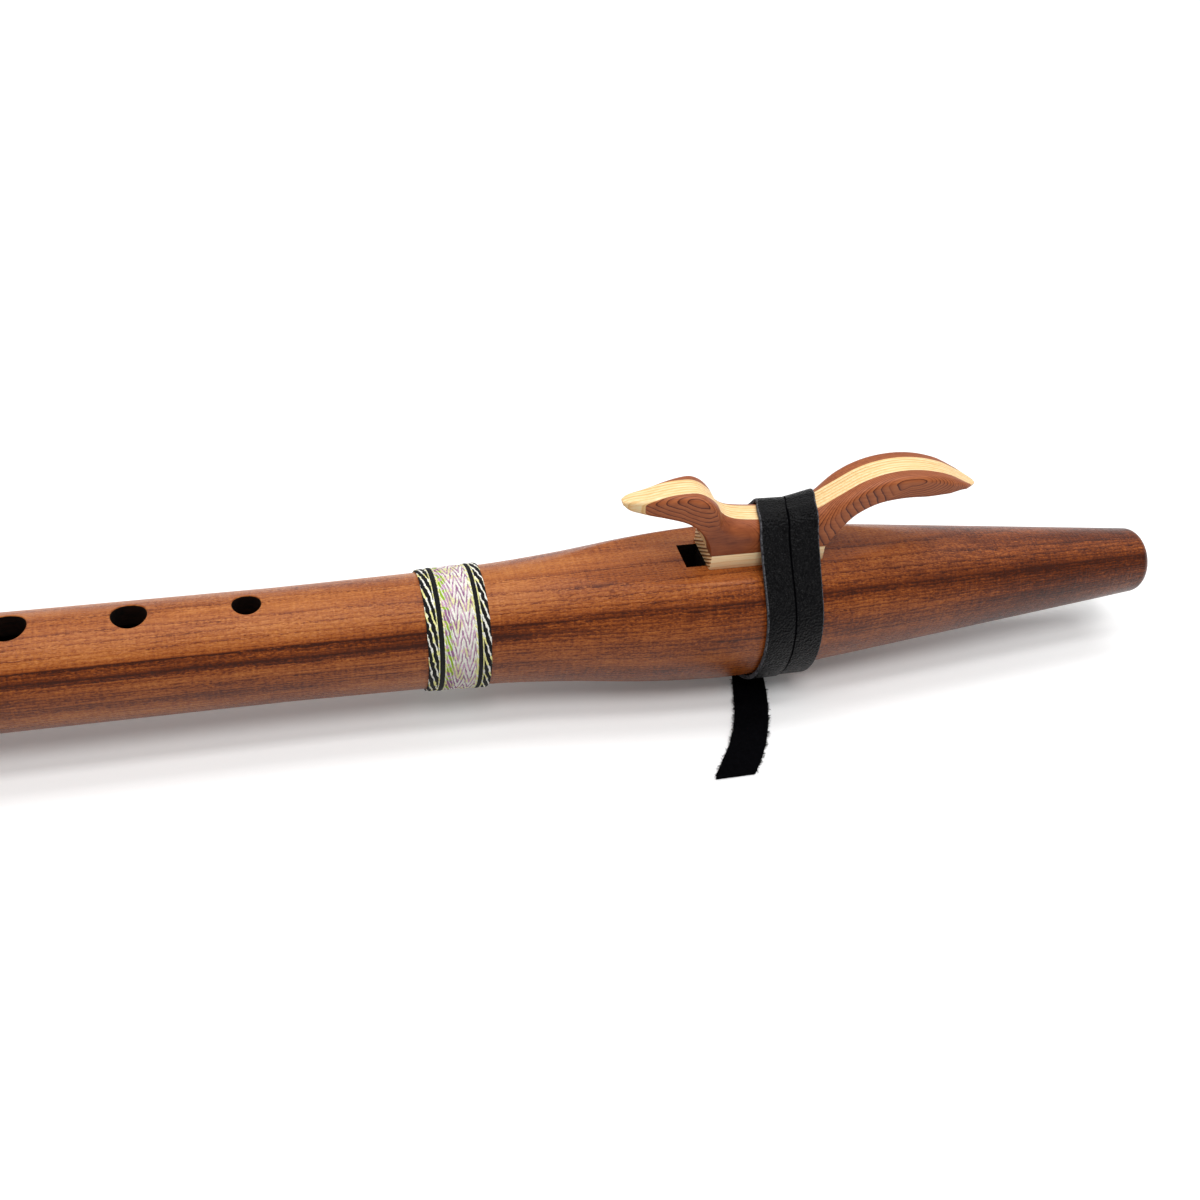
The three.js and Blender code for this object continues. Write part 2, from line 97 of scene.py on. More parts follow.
def arc(x, y, radius, first, last, steps):
    """Points on the circle round x, y, from one angle in degrees to the other."""
    turns = [math.radians(mix(first, last, i / steps)) for i in range(steps + 1)]
    return [(x + radius * math.cos(turn), y + radius * math.sin(turn)) for turn in turns]


def node(tree, kind, *inputs, output=0, stops=(), **settings):
    """Adds a shader node, such as Mix or Math.ADD, with its settings. The inputs are values or links, in their order
    or in a dict. One of the outputs comes back."""
    kind, _, operation = kind.partition(".")
    made = tree.nodes.new("ShaderNode" + kind)
    if operation:
        made.operation = operation
    for key, value in settings.items():
        setattr(made, key, value)
    ramp = made.color_ramp.elements if stops else ()
    while len(ramp) < len(stops):
        ramp.new(1)
    for stop, (place, shade) in zip(ramp, stops):
        stop.position = place
        stop.color = (shade, shade, shade, 1) if isinstance(shade, (int, float)) else linear(shade)
    given = inputs[0] if inputs and isinstance(inputs[0], dict) else dict(enumerate(inputs))
    for key, value in given.items():
        if isinstance(value, bpy.types.NodeSocket):
            tree.links.new(value, made.inputs[key])
        else:
            made.inputs[key].default_value = linear(value)
    return made.outputs[output] if len(made.outputs) else made


def new_material(name):
    """A material and the function that adds nodes to it."""
    material = bpy.data.materials.new(name)
    material.use_nodes = True
    material.node_tree.nodes.clear()
    return material, partial(node, material.node_tree)


def finished(material, height, strength, distance, surface, normals=("Normal",)):
    """Ends a material with its relief, which stands up by the distance in metres, and its surface."""
    add = partial(node, material.node_tree)
    bump = add("Bump", {"Height": height, "Strength": strength, "Distance": distance})
    shader = add("BsdfPrincipled", {**surface, **dict.fromkeys(normals, bump)})
    add("OutputMaterial", {"Surface": shader})
    return material


def as_object(name, bm):
    mesh = bpy.data.meshes.new(name)
    bm.to_mesh(mesh)
    bm.free()
    made = bpy.data.objects.new(name, mesh)
    bpy.context.collection.objects.link(made)
    return made


def add_piece(name, bm, body, replaced, materials, sharp=38):
    """Moves the made mesh to the frame, hangs it on the empty of the body it rides on, and hides the parts that it
    stands for.
    """
    bmesh.ops.remove_doubles(bm, verts=bm.verts, dist=WELD)
    bmesh.ops.recalc_face_normals(bm, faces=bm.faces)
    for face in bm.faces:
        face.smooth = True
    for edge in bm.edges:
        edge.smooth = len(edge.link_faces) != 2 or edge.calc_face_angle(0) < math.radians(sharp)
    bmesh.ops.transform(bm, matrix=TO_FRAME, verts=bm.verts)
    piece = as_object(name, bm)
    for material in materials:
        piece.data.materials.append(material)
    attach(piece, body)
    if replaced:
        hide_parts(*replaced)


def edges_of(items):
    return [item for item in items if isinstance(item, bmesh.types.BMEdge)]


def swept(rings):
    """A closed tube through rings of points: one edge loop is made and extruded from ring to ring."""
    bm = bmesh.new()
    rows = [[bm.verts.new(point) for point in rings[0]]]
    loop = [bm.edges.new(pair) for pair in zip(rows[0], rows[0][1:] + rows[0][:1])]
    bmesh.ops.contextual_create(bm, geom=loop)
    for ring in rings[1:]:
        bmesh.ops.extrude_edge_only(bm, edges=loop)
        known = {vert for row in rows[-2:] for vert in row}
        row = [next(edge.other_vert(vert) for edge in vert.link_edges if edge.other_vert(vert) not in known)
               for vert in rows[-1]]
        for vert, point in zip(row, ring):
            vert.co = point
        loop = [bm.edges.get(pair) for pair in zip(row, row[1:] + row[:1])]
        rows.append(row)
    bmesh.ops.contextual_create(bm, geom=loop)
    return bm, rows


def spun(profile, steps, axis=(1, 0, 0)):
    """A profile of points turned once round an axis."""
    bm = bmesh.new()
    verts = [bm.verts.new(point) for point in profile]
    edges = [bm.edges.new(pair) for pair in zip(verts, verts[1:])]
    bmesh.ops.spin(bm, geom=verts + edges, cent=(0, 0, 0), axis=axis, angle=math.tau, steps=steps, use_merge=True)
    bmesh.ops.remove_doubles(bm, verts=bm.verts, dist=10 * WELD)
    return bm


# Settings that a user would change. Lengths are kept in metres, as Blender keeps its own.
def length(name, description, millimetres):
    return bpy.props.FloatProperty(name=name, description=description, default=millimetres * MM, min=0, precision=5,
                                   unit="LENGTH", subtype="DISTANCE")


def colour(name, description, hex_colour):
    return bpy.props.FloatVectorProperty(name=name, description=description, default=linear(hex_colour), size=4,
                                         min=0, max=1, subtype="COLOR")


def light(name, description, strength):
    return bpy.props.FloatProperty(name=name, description=description, default=strength, min=0, subtype="FACTOR")


class FluteBodySettings(bpy.types.PropertyGroup):
    tube_radius: length("Tube radius", "Outer radius of the straight tube", 18)
    belly_radius: length("Belly radius", "Largest outer radius, under the block", 25.9)
    mouth_radius: length("Mouth radius", "Outer radius at the mouth end", 11.7)
    nest_height: length("Nest height", "Height of the flat nest over the bore's axis", 20.8)
    early_wood: colour("Early wood", "The pale growth bands", "#ad642d")
    late_wood: colour("Late wood", "The thin dark growth lines", "#3c1607")


class BlockSettings(bpy.types.PropertyGroup):
    half_width: length("Half width", "Half of the block's width", 8.35)
    core_half_width: length("Core half width", "Half of the pale core's width", 3.8)
    core_wood: colour("Core wood", "The pale core", "#f8cd8f")
    base_wood: colour("Base wood", "The pale base plate", "#ffdaa8")
    cheek_wood: colour("Cheek wood", "The brown cheeks", "#a45930")
    cheek_lines: colour("Cheek lines", "The cheeks' growth lines", "#54230f")


class StrapSettings(bpy.types.PropertyGroup):
    width: length("Width", "Width of the strap", 9.4)
    thickness: length("Thickness", "Thickness of the strap", 1.5)
    leather: colour("Leather", "The dyed grain side", "#070709")
    raw_edge: colour("Raw edge", "The fibre of the cut edge", "#66666b")


class BandSettings(bpy.types.PropertyGroup):
    width: length("Width", "Width of the woven band", 19.8)
    thickness: length("Thickness", "Thickness of the woven band", 0.8)
    dark_yarn: colour("Dark yarn", "The black yarn", "#111113")
    pale_yarn: colour("Pale yarn", "The pale yellow yarn", "#fbf6a6")
    white_yarn: colour("White yarn", "The white yarn", "#fffdf2")
    purple_yarn: colour("Purple yarn", "The purple yarn", "#a5719a")
    lime_yarn: colour("Lime yarn", "The lime yarn", "#a2c832")


class StageSettings(bpy.types.PropertyGroup):
    focal_length: bpy.props.FloatProperty(name="Focal length", description="Focal length on a 36 mm sensor",
                                          default=40.735, min=1, unit="CAMERA", subtype="DISTANCE_CAMERA")
    fill_light: light("Fill light", "Strength of the broad lamp over the viewer", 1.2)
    key_light: light("Key light", "Strength of the long softbox over the flute", 0.8)
    far_light: light("Far light", "Strength of the wider softbox behind it", 1.0)
    sky: light("Sky", "Strength of the soft light from behind the flute", 0.62)
    room: light("Room", "Strength of the soft light from the viewer's side", 0.22)
    floor: colour("Floor", "The floor as it is seen", "#fdfdfd")


def read(settings):
    """The settings as plain values, with their lengths in millimetres."""
    values = {}
    for key in settings.__annotations__:
        value = getattr(settings, key)
        if isinstance(value, float):
            values[key] = value / MM if settings.bl_rna.properties[key].unit == "LENGTH" else value
        else:
            values[key] = tuple(value)
    return SimpleNamespace(**values)


# Materials. Their patterns are laid out in millimetres from the splitting edge, on the bore's axis.
def in_millimetres(add):
    place = add("TexCoord", output="Object")
    return add("Mapping", {"Vector": place, "Scale": (1 / MM,) * 3, "Location": (-MIDDLE, 0, -AXIS_HEIGHT)})


def grain(add, place, scale, detail, roughness=0.5, output="Fac"):
    """Noise drawn out along the wood: it has about as many spots to the millimetre as the scale says, on each axis."""
    drawn = add("Mapping", {"Vector": place, "Scale": scale})
    return add("TexNoise", {"Vector": drawn, "Scale": 1, "Detail": detail, "Roughness": roughness}, output=output)


def growth_lines(add, depth, spacing, stops, faintest, darkest):
    """A dark line to each growth ring, from the rings' depth in the wood. Every line has a weight of its own."""
    rings = add("Math.DIVIDE", depth, spacing)
    line = add("ValToRGB", add("Math.FRACT", rings), stops=stops)
    weight = add("TexWhiteNoise", {"W": add("Math.FLOOR", rings)}, noise_dimensions="1D")
    weight = add("MapRange", {0: weight, 3: faintest, 4: darkest})
    return add("Math.MULTIPLY", line, weight)


def cedar(settings):
    """Western red cedar, turned, sanded and rubbed with satin oil. Its growth lines run along the flute and wander
    a little where it swells; short dark pores and pale fibres lie between them."""
    material, add = new_material("satin_oiled_red_cedar")
    place = in_millimetres(add)
    # Fibres 0.5 mm wide drawn along the bore, and pores 0.4 mm wide and 1 to 2 mm long.
    fibre = grain(add, place, (0.05, 1.7, 1.7), 4, 0.65)
    pore = grain(add, place, (0.8, 2.6, 2.6), 2, 0.7)
    # Sanding on the lathe leaves faint rings round the body, which break the grain into short dashes.
    sanding = grain(add, place, (1.3, 0.12, 0.12), 3)
    patch = grain(add, place, (0.02, 0.12, 0.12), 2)
    # The lines follow the turned surface for the most part, so they keep to the bore's direction on the swell.
    flat = add("VectorMath.MULTIPLY", place, (0, 1, 1))
    around = add("VectorMath.NORMALIZE", flat)
    shallow = add("VectorMath.MULTIPLY", flat, (0, 0.3, 0.3))
    ground = add("VectorMath.MULTIPLY_ADD", around, (0, 12.6, 12.6), shallow)
    drift = grain(add, place, (0.007, 0.05, 0.05), 2, output="Color")
    bent = add("VectorMath.MULTIPLY_ADD", drift, (0, 2.6, 2.6), ground)
    depth = add("VectorMath.DOT_PRODUCT", bent, (0, 0.174, 0.985), output="Value")
    # Fibres and pores cross the edges of the dark bands, which frays them.
    for part, weight in ((fibre, 1.6), (pore, 1)):
        depth = add("Math.MULTIPLY_ADD", part, weight, depth)
    # Broad bands of early and late wood lie over the tube's 36 mm, from the underside at 0 to the top at 1. A higher
    # value is darker wood. Their levels were matched to the lit wood round the tube, so part of the flank's and the
    # underside's darkness beside the top is painted shade.
    level = add("MapRange", depth, -15.2, 20.8)
    bands_with_painted_shade = add("ValToRGB", level, stops=[
        (0, 0.5), (0.16, 0.52), (0.2, 0.4), (0.27, 0.36), (0.325, 0.4), (0.36, 0.6), (0.4, 0.64), (0.44, 0.48),
        (0.485, 0.62), (0.52, 0.46), (0.58, 0.54), (0.615, 0.62), (0.638, 0.9), (0.66, 0.94), (0.675, 0.64),
        (0.722, 0.72), (0.735, 0.98), (0.752, 0.5), (0.79, 0.38), (0.88, 0.31), (0.955, 0.33), (1, 0.29)])
    # Beyond the swell's start the wood has other bands, more even but for one dark streak, and it darkens towards
    # the mouth. On the swell that streak lies just below the nest's ridge, where it is partly painted shade under the
    # ridge.
    even_bands_with_painted_shade = add("ValToRGB", level, stops=[
        (0, 0.53), (0.25, 0.58), (0.36, 0.52), (0.45, 0.58), (0.55, 0.52), (0.62, 0.53), (0.7, 0.58), (0.74, 0.72),
        (0.765, 0.84), (0.79, 0.62), (0.84, 0.51), (0.92, 0.47), (0.975, 0.56), (1, 0.43)])
    along = add("SeparateXYZ", place, output="X")
    beyond = add("MapRange", along, -64, -22, interpolation_type="SMOOTHSTEP")
    mouth = add("MapRange", {0: along, 1: 75, 2: 130, 4: 0.2}, interpolation_type="SMOOTHSTEP")
    bands_with_painted_shade = add("Mix", {0: beyond, 2: bands_with_painted_shade, 3: even_bands_with_painted_shade})
    shade = add("Math.ADD", bands_with_painted_shade, mouth)
    # Growth rings about 1 mm wide.
    line = growth_lines(add, depth, 1.05, [(0, 0), (0.5, 0.1), (0.86, 0.9), (1, 0)], 0, 1)
    for part, weight in ((line, 0.4), (fibre, 0.7), (pore, 1.05), (patch, 0.6), (sanding, 0.3)):
        shade = add("Math.MULTIPLY_ADD", part, weight, shade)
    # The glue line between the halves shows as a hair of dark glue.
    height = add("Math.ABSOLUTE", add("SeparateXYZ", place, output="Z"))
    glue = add("MapRange", height, 0.06, 0.16, 0.35, 0)
    shade = add("Math.ADD", shade, glue)
    colour = add("ValToRGB", add("Math.SUBTRACT", shade, 1.32), stops=[
        (0, "#c78042"), (0.3, settings.early_wood), (0.5, "#954d1e"), (0.74, "#672d0e"), (1, settings.late_wood)])
    rough = add("MapRange", pore, 0.3, 0.7, 0.26, 0.44)
    relief = pore
    for part, weight in ((sanding, 0.7), (fibre, 0.6)):
        relief = add("Math.MULTIPLY_ADD", part, weight, relief)
    # The last coat of oil is thin and glossier than the wood below it, which gives the flute its narrow line of gloss.
    return finished(material, relief, 0.55, 0.0003, {
        "Base Color": colour, "Roughness": rough, "IOR": 1.3, "Coat Weight": 0.2, "Coat Roughness": 0.1,
        "Coat IOR": 1.45}, ("Normal", "Coat Normal"))


def bore_painted_shade():
    """The bore and the walls of the holes, painted almost black and dull as painted shade for their unlit inside."""
    material, add = new_material("scorched_cedar_bore")
    dark_noise = grain(add, in_millimetres(add), (0.15, 1.2, 1.2), 3)
    colour = add("ValToRGB", dark_noise, stops=[(0.35, "#0c0604"), (0.7, "#22110a")])
    return finished(material, dark_noise, 0.3, 0.0002, {"Base Color": colour, "Roughness": 0.65, "IOR": 1.4})


def pale_softwood(name, ground, lean, spacing, contrast):
    """Pale quarter-sawn softwood, planed and oiled: close, straight growth lines that run with the piece. The lean is
    the direction across the growth rings."""
    material, add = new_material(name)
    place = in_millimetres(add)
    drift = grain(add, place, (0.03, 0.02, 0.02), 2, output="Color")
    bent = add("VectorMath.MULTIPLY_ADD", drift, (0, 1.5, 1.5), place)
    depth = add("VectorMath.DOT_PRODUCT", bent, lean, output="Value")
    line = growth_lines(add, depth, spacing, [(0, 0), (0.45, 0.1), (0.8, 0.45), (0.9, 1), (1, 0)],
                        contrast * 0.45, contrast)
    fibre = grain(add, place, (0.1, 1.8, 1.8), 3, 0.6)
    shade = add("Math.MULTIPLY_ADD", fibre, 0.5, line)
    colour = add("ValToRGB", shade, stops=[(0.12, "#fff0c6"), (0.34, ground), (0.7, "#d9a35f"), (1, "#74431f")])
    return finished(material, fibre, 0.15, 0.0002, {"Base Color": colour, "Roughness": 0.5, "IOR": 1.45})


def ringed_cedar(block):
    """Flat-sawn cedar of the cheeks: its growth layers lie nearly along the glue lines, so they show as close lines
    on the carved edges and as wide contours on the flat sides."""
    material, add = new_material("flat_sawn_red_cedar")
    place = in_millimetres(add)
    axes = add("SeparateXYZ", place).node.outputs
    # Under the head the layers hang in bows behind the brow.
    ahead = add("Math.ADD", axes["X"], 3.5)
    behind = add("Math.MAXIMUM", ahead, 0)
    before = add("Math.MINIMUM", ahead, 0)
    below = add("Math.SUBTRACT", 52.8, axes["Z"])
    below = add("Math.MULTIPLY_ADD", before, 0.15, below)
    bow = add("CombineXYZ", {"X": add("Math.MULTIPLY", behind, 0.8), "Z": below})
    bow = add("VectorMath.LENGTH", bow, output="Value")
    head = add("Math.MULTIPLY", bow, 0.53)
    # In the tail they close to a long oval, whose middle follows the tail down, and slant across it towards the strap.
    along = add("Math.SUBTRACT", axes["X"], 72.4)
    spread = add("Math.MAXIMUM", add("Math.MULTIPLY", along, 0.417), add("Math.MULTIPLY", along, -0.17))
    fall = add("Math.MINIMUM", along, 0)
    drop = add("Math.SUBTRACT", axes["Z"], 50.8)
    drop = add("Math.MULTIPLY_ADD", fall, -0.45, drop)
    oval = add("VectorMath.LENGTH", add("CombineXYZ", {"X": spread, "Z": drop}), output="Value")
    slant = add("VectorMath.DOT_PRODUCT", place, (-0.291, 0, -0.187), output="Value")
    slant = add("Math.ADD", slant, 31.4)
    tail = add("Math.SMOOTH_MAX", oval, slant, 0.8)
    tail = add("Math.SMOOTH_MAX", tail, 2.3, 1.2)
    layers = add("Mix", {0: add("MapRange", axes["X"], 20, 34), 2: head, 3: tail})
    # The layers also run in from the sides, and wander.
    inward = add("Math.SUBTRACT", block.half_width, add("Math.ABSOLUTE", axes["Y"]))
    drift = grain(add, place, (0.12, 0.2, 0.2), 3)
    for part, weight in ((inward, 1.3), (drift, 0.8)):
        layers = add("Math.MULTIPLY_ADD", part, weight, layers)
    # One layer is 0.85 mm thick, with thin dark late wood.
    line = growth_lines(add, layers, 0.85, [(0, 0.05), (0.5, 0.2), (0.76, 0.5), (0.84, 1), (0.94, 0.95), (1, 0.05)],
                        0.45, 0.95)
    # Low on the neck the saw ran along one layer, so the lines fade into a cloudy brown.
    neck = add("VectorMath.DISTANCE", place, (13, -8, 31), output="Value")
    neck = add("MapRange", neck, 5, 14, interpolation_type="SMOOTHSTEP")
    line = add("Mix", {0: neck, 2: add("Math.MULTIPLY", drift, 0.8), 3: line})
    fibre = grain(add, place, (0.14, 1.6, 1.6), 4, 0.65)
    shade = add("Math.MULTIPLY_ADD", fibre, 0.7, line)
    colour = add("ValToRGB", add("Math.SUBTRACT", shade, 0.05), stops=[
        (0.22, "#b86c3f"), (0.45, block.cheek_wood), (0.85, "#793a1d"), (1, block.cheek_lines)])
    return finished(material, fibre, 0.2, 0.0002, {"Base Color": colour, "Roughness": 0.5, "IOR": 1.45})


def grain_leather(settings):
    """Chrome-tanned black leather, grain side out: a fine pebble of about 0.6 mm that glints where it bends."""
    material, add = new_material("black_grain_leather")
    place = add("TexCoord", output="Object")
    pebble = add("TexVoronoi", {"Vector": place, "Scale": 1500}, output="Distance", feature="SMOOTH_F1")
    crease = add("TexNoise", {"Vector": place, "Scale": 420, "Detail": 4})
    relief = add("Math.MULTIPLY_ADD", crease, 0.6, pebble)
    rough = add("MapRange", crease, 0.3, 0.7, 0.34, 0.52)
    colour = add("ValToRGB", crease, stops=[(0.3, "#030304"), (0.75, settings.leather)])
    return finished(material, relief, 1.0, 0.0006, {"Base Color": colour, "Roughness": rough, "IOR": 1.24})


def suede_and_seam_shade():
    """The flesh side of the leather, brushed to a nap that swallows the light: deep black, no gloss. It is also laid on
    the edges where the strap's turns meet, as painted shade in the seam.
    """
    material, add = new_material("black_suede")
    place = add("TexCoord", output="Object")
    nap = add("TexNoise", {"Vector": place, "Scale": 900, "Detail": 6, "Roughness": 0.8})
    colour = add("ValToRGB", nap, stops=[(0.35, "#020203"), (0.8, "#0b0b0e")])
    return finished(material, nap, 0.9, 0.0004, {"Base Color": colour, "Roughness": 1.0, "IOR": 1.12})


def cut_edge(settings):
    """The strap's raw edge: grey fibre shows where the blade went through the dye."""
    material, add = new_material("cut_leather_edge")
    place = add("TexCoord", output="Object")
    fibre = add("TexNoise", {"Vector": place, "Scale": 1100, "Detail": 5, "Roughness": 0.7})
    colour = add("ValToRGB", fibre, stops=[(0.35, "#0e0e10"), (0.62, settings.raw_edge)])
    return finished(material, fibre, 0.8, 0.0003, {"Base Color": colour, "Roughness": 0.9, "IOR": 1.2})


def yarn_material(name, white, pale, dark, pitch, lean, share=0.5, fold=0, patches=()):
    """Cotton yarn laid in two colours that take turns. The UV map is in millimetres round the tube and across the
    band: a pair of yarns is pitch long round the tube, with a share of it pale, climbs lean times as far round as
    across, and turns back at every fold. Patches are stretches of other dyes in the dark yarn."""
    material, add = new_material(name)
    around = add("SeparateXYZ", add("UVMap", uv_map="band"))
    across = around.node.outputs["Y"]
    place = add("TexCoord", output="Object")
    if fold:
        across = add("Math.PINGPONG", across, fold)
    slant = add("Math.MULTIPLY_ADD", across, lean, around)
    # No yarn is laid quite straight: every 2 mm or so it wanders by a part of its pitch.
    wander = add("TexNoise", {"Vector": place, "Scale": 520, "Detail": 2})
    slant = add("Math.MULTIPLY_ADD", wander, pitch * 0.8, slant)
    turn = add("Math.FRACT", add("Math.DIVIDE", slant, pitch))
    pick = add("Math.LESS_THAN", turn, share)
    # The pale yarn is dyed in stretches too, from white to yellow.
    blush = add("TexNoise", {"Vector": place, "Scale": 260, "Detail": 1})
    pales = add("ValToRGB", blush, stops=[(0.5, white), (0.6, pale)])
    if patches:
        dye = add("TexNoise", {"Vector": place, "Scale": 300, "Detail": 1})
        dark = add("ValToRGB", dye, stops=[
            (0.42, dark), (0.46, patches[0]), (0.56, patches[0]), (0.6, patches[-1])])
    yarns = add("Mix", {0: pick, 6: dark, 7: pales}, output=2, data_type="RGBA")
    fuzz = add("TexNoise", {"Vector": place, "Scale": 1500, "Detail": 4, "Roughness": 0.7})
    light = add("MapRange", fuzz, 0.25, 0.75, 0.8, 1.2)
    colour = add("VectorMath.SCALE", {0: yarns, "Scale": light})
    # Each yarn is round: it stands highest along its middle.
    ridge = add("Math.PINGPONG", turn, 0.25)
    relief = add("Math.MULTIPLY_ADD", ridge, 4, fuzz)
    return finished(material, relief, 0.8, 0.0003, {"Base Color": colour, "Roughness": 0.85, "IOR": 1.4})


# Body.
FLARE_START, BELLY_PLACE, CONE_PLACE, MOUTH_LENGTH = -130, 12, 31, 177.5
CONE_RADIUS, MOUTH_EASE, FOOT_EASE = 25.35, 3.6, 1.4
FLARE = [(0, 0), (0.21, 0.06), (0.33, 0.105), (0.49, 0.21), (0.63, 0.41), (0.71, 0.57), (0.78, 0.72), (0.85, 0.84),
         (0.92, 0.93), (1, 1)]
CREST = [(0, 0), (0.32, 0.04), (0.66, 0.34), (1, 1)]
BORE_RADIUS, BORE_END, PLUG = 11, 9.2, 14
AIR_RADIUS, AIR_LENGTH, AIR_TAPER, BREATH_RADIUS = 9.5, 95, 30, 3.5
SOUND_HOLE_LENGTH, SOUND_HOLE_WIDTH, EDGE_LIP, UNDERCUT_RUN = 7.2, 11.8, 0.8, 9
FLUE_DEPTH, FLUE_LENGTH, EXIT_LENGTH = 1.3, 22, 8
FIRST_HOLE, HOLE_SPACING, HOLE_RADII, HOLE_EASE = -138.4, 34, (4.35, 5.25, 5.6, 5.1, 4.6), 0.5
NEST_EASE, BODY_STEPS, HOLE_STEPS = 0.4, 320, 96
# A face is inside the body if it lies deeper than this under the outside, and further from both ends.
SKIN, END_SKIN = 0.32, 0.3


def outer_profile(body):
    """The body's outside from foot to mouth, as places along the bore and radii."""
    foot, mouth = FOOT_EASE - SOUND_CHAMBER, MOUTH_LENGTH - MOUTH_EASE
    swell = [Vector((mix(FLARE_START, BELLY_PLACE, a), mix(body.tube_radius, body.belly_radius, b))) for a, b in FLARE]
    crest = [Vector((mix(BELLY_PLACE, CONE_PLACE, a), mix(body.belly_radius, CONE_RADIUS, b))) for a, b in CREST]
    points = arc(foot, body.tube_radius - FOOT_EASE, FOOT_EASE, 180, 90, 8)
    points += [(mix(foot, FLARE_START, i / 14), body.tube_radius) for i in range(1, 14)]
    points += [tuple(spline(swell, i / 72)) for i in range(73)]
    points += [tuple(spline(crest, i / 12)) for i in range(1, 13)]
    points += [(mix(CONE_PLACE, mouth, i / 56), mix(CONE_RADIUS, body.mouth_radius, i / 56)) for i in range(1, 56)]
    return points + arc(mouth, body.mouth_radius - MOUTH_EASE, MOUTH_EASE, 90, 0, 12)


def radius_at(profile, place):
    for (x0, r0), (x1, r1) in zip(profile, profile[1:]):
        if x0 <= place <= x1 and x1 > x0:
            return mix(r0, r1, (place - x0) / (x1 - x0))
    raise ValueError("no body at %.1f mm" % place)


def plane_nest(bm, nest_height):
    """Planes the flat nest on top, and rounds its ridge over as sanding does."""
    for vert in bm.verts:
        radius = math.hypot(vert.co.y, vert.co.z)
        if radius < mix(BORE_RADIUS, nest_height, 0.5) or vert.co.z <= 0:
            continue
        flat = nest_height * radius / vert.co.z
        share = min(max(0.5 + 0.5 * (radius - flat) / NEST_EASE, 0), 1)
        wanted = mix(radius, flat, share) - NEST_EASE * share * (1 - share)
        vert.co.y *= wanted / radius
        vert.co.z *= wanted / radius


def hole_cutter(place, radius, tube_radius):
    """A finger hole's cutter: it opens out at the top, and its lip lies on the round tube."""
    lip = arc(radius + HOLE_EASE, tube_radius - HOLE_EASE, HOLE_EASE, 180, 103, 7)
    wide, high = lip[-1][0] + 1.2, lip[-1][1] + 3
    profile = [(0, 4), (radius, 4), *lip, (wide, high), (0, high)]
    bm = spun([Vector((x, 0, z)) for x, z in profile], HOLE_STEPS, (0, 0, 1))
    for vert in bm.verts:
        if vert.co.z > tube_radius / 2:
            vert.co.z -= tube_radius - math.sqrt(tube_radius ** 2 - vert.co.y ** 2)
        vert.co.x += place
    return bm


def flue_cutter(nest_height):
    """One cutter for the sound hole with its undercut, the flue and the air chamber's exit."""
    half = SOUND_HOLE_WIDTH / 2
    exit_start = SOUND_HOLE_LENGTH + FLUE_LENGTH
    outline = [(-UNDERCUT_RUN, BORE_RADIUS / 2), (0, nest_height - EDGE_LIP), (0, 30), (exit_start + EXIT_LENGTH, 30),
               (exit_start + EXIT_LENGTH, 2), (exit_start, 2), (exit_start, nest_height - FLUE_DEPTH),
               (SOUND_HOLE_LENGTH, nest_height - FLUE_DEPTH), (SOUND_HOLE_LENGTH, 2), (-UNDERCUT_RUN, 2)]
    bm = bmesh.new()
    side = bm.faces.new([bm.verts.new((x, -half, z)) for x, z in outline])
    made = bmesh.ops.extrude_face_region(bm, geom=[side])["geom"]
    bmesh.ops.translate(bm, vec=(0, 2 * half, 0), verts=[item for item in made if isinstance(item, bmesh.types.BMVert)])
    bmesh.ops.recalc_face_normals(bm, faces=bm.faces)
    return bm


def cut(bm, cutters):
    """The mesh with the cutters taken away from it."""
    block = as_object("to_cut", bm)
    tools = []
    for cutter in cutters:
        bmesh.ops.recalc_face_normals(cutter, faces=cutter.faces)
        tool = as_object("cutter", cutter)
        tools.append(tool)
        step = block.modifiers.new("cut", "BOOLEAN")
        step.operation, step.object, step.solver = "DIFFERENCE", tool, "EXACT"
    left = bmesh.new()
    left.from_object(block, bpy.context.evaluated_depsgraph_get())
    for spent in (block, *tools):
        mesh = spent.data
        bpy.data.objects.remove(spent)
        bpy.data.meshes.remove(mesh)
    return left


def half_of(bm, point, normal):
    """A copy of the mesh on the far side of a plane, closed where it was cut."""
    part = bm.copy()
    made = bmesh.ops.bisect_plane(part, geom=part.verts[:] + part.edges[:] + part.faces[:], dist=WELD,
                                  plane_co=point, plane_no=normal, clear_inner=True)
    rim = [edge for edge in edges_of(made["geom_cut"]) if len(edge.link_faces) == 1]
    bmesh.ops.triangle_fill(part, use_beauty=True, use_dissolve=False, edges=rim)
    return part


def is_inside(point, profile, nest_height):
    """1 for a place in the bore, the flue or a hole, and 0 for one on the outside or an end."""
    if not END_SKIN - SOUND_CHAMBER < point.x < MOUTH_LENGTH - END_SKIN:
        return 0
    depth = radius_at(profile, point.x) - math.hypot(point.y, point.z)
    return int(min(depth, nest_height - point.z) > SKIN)


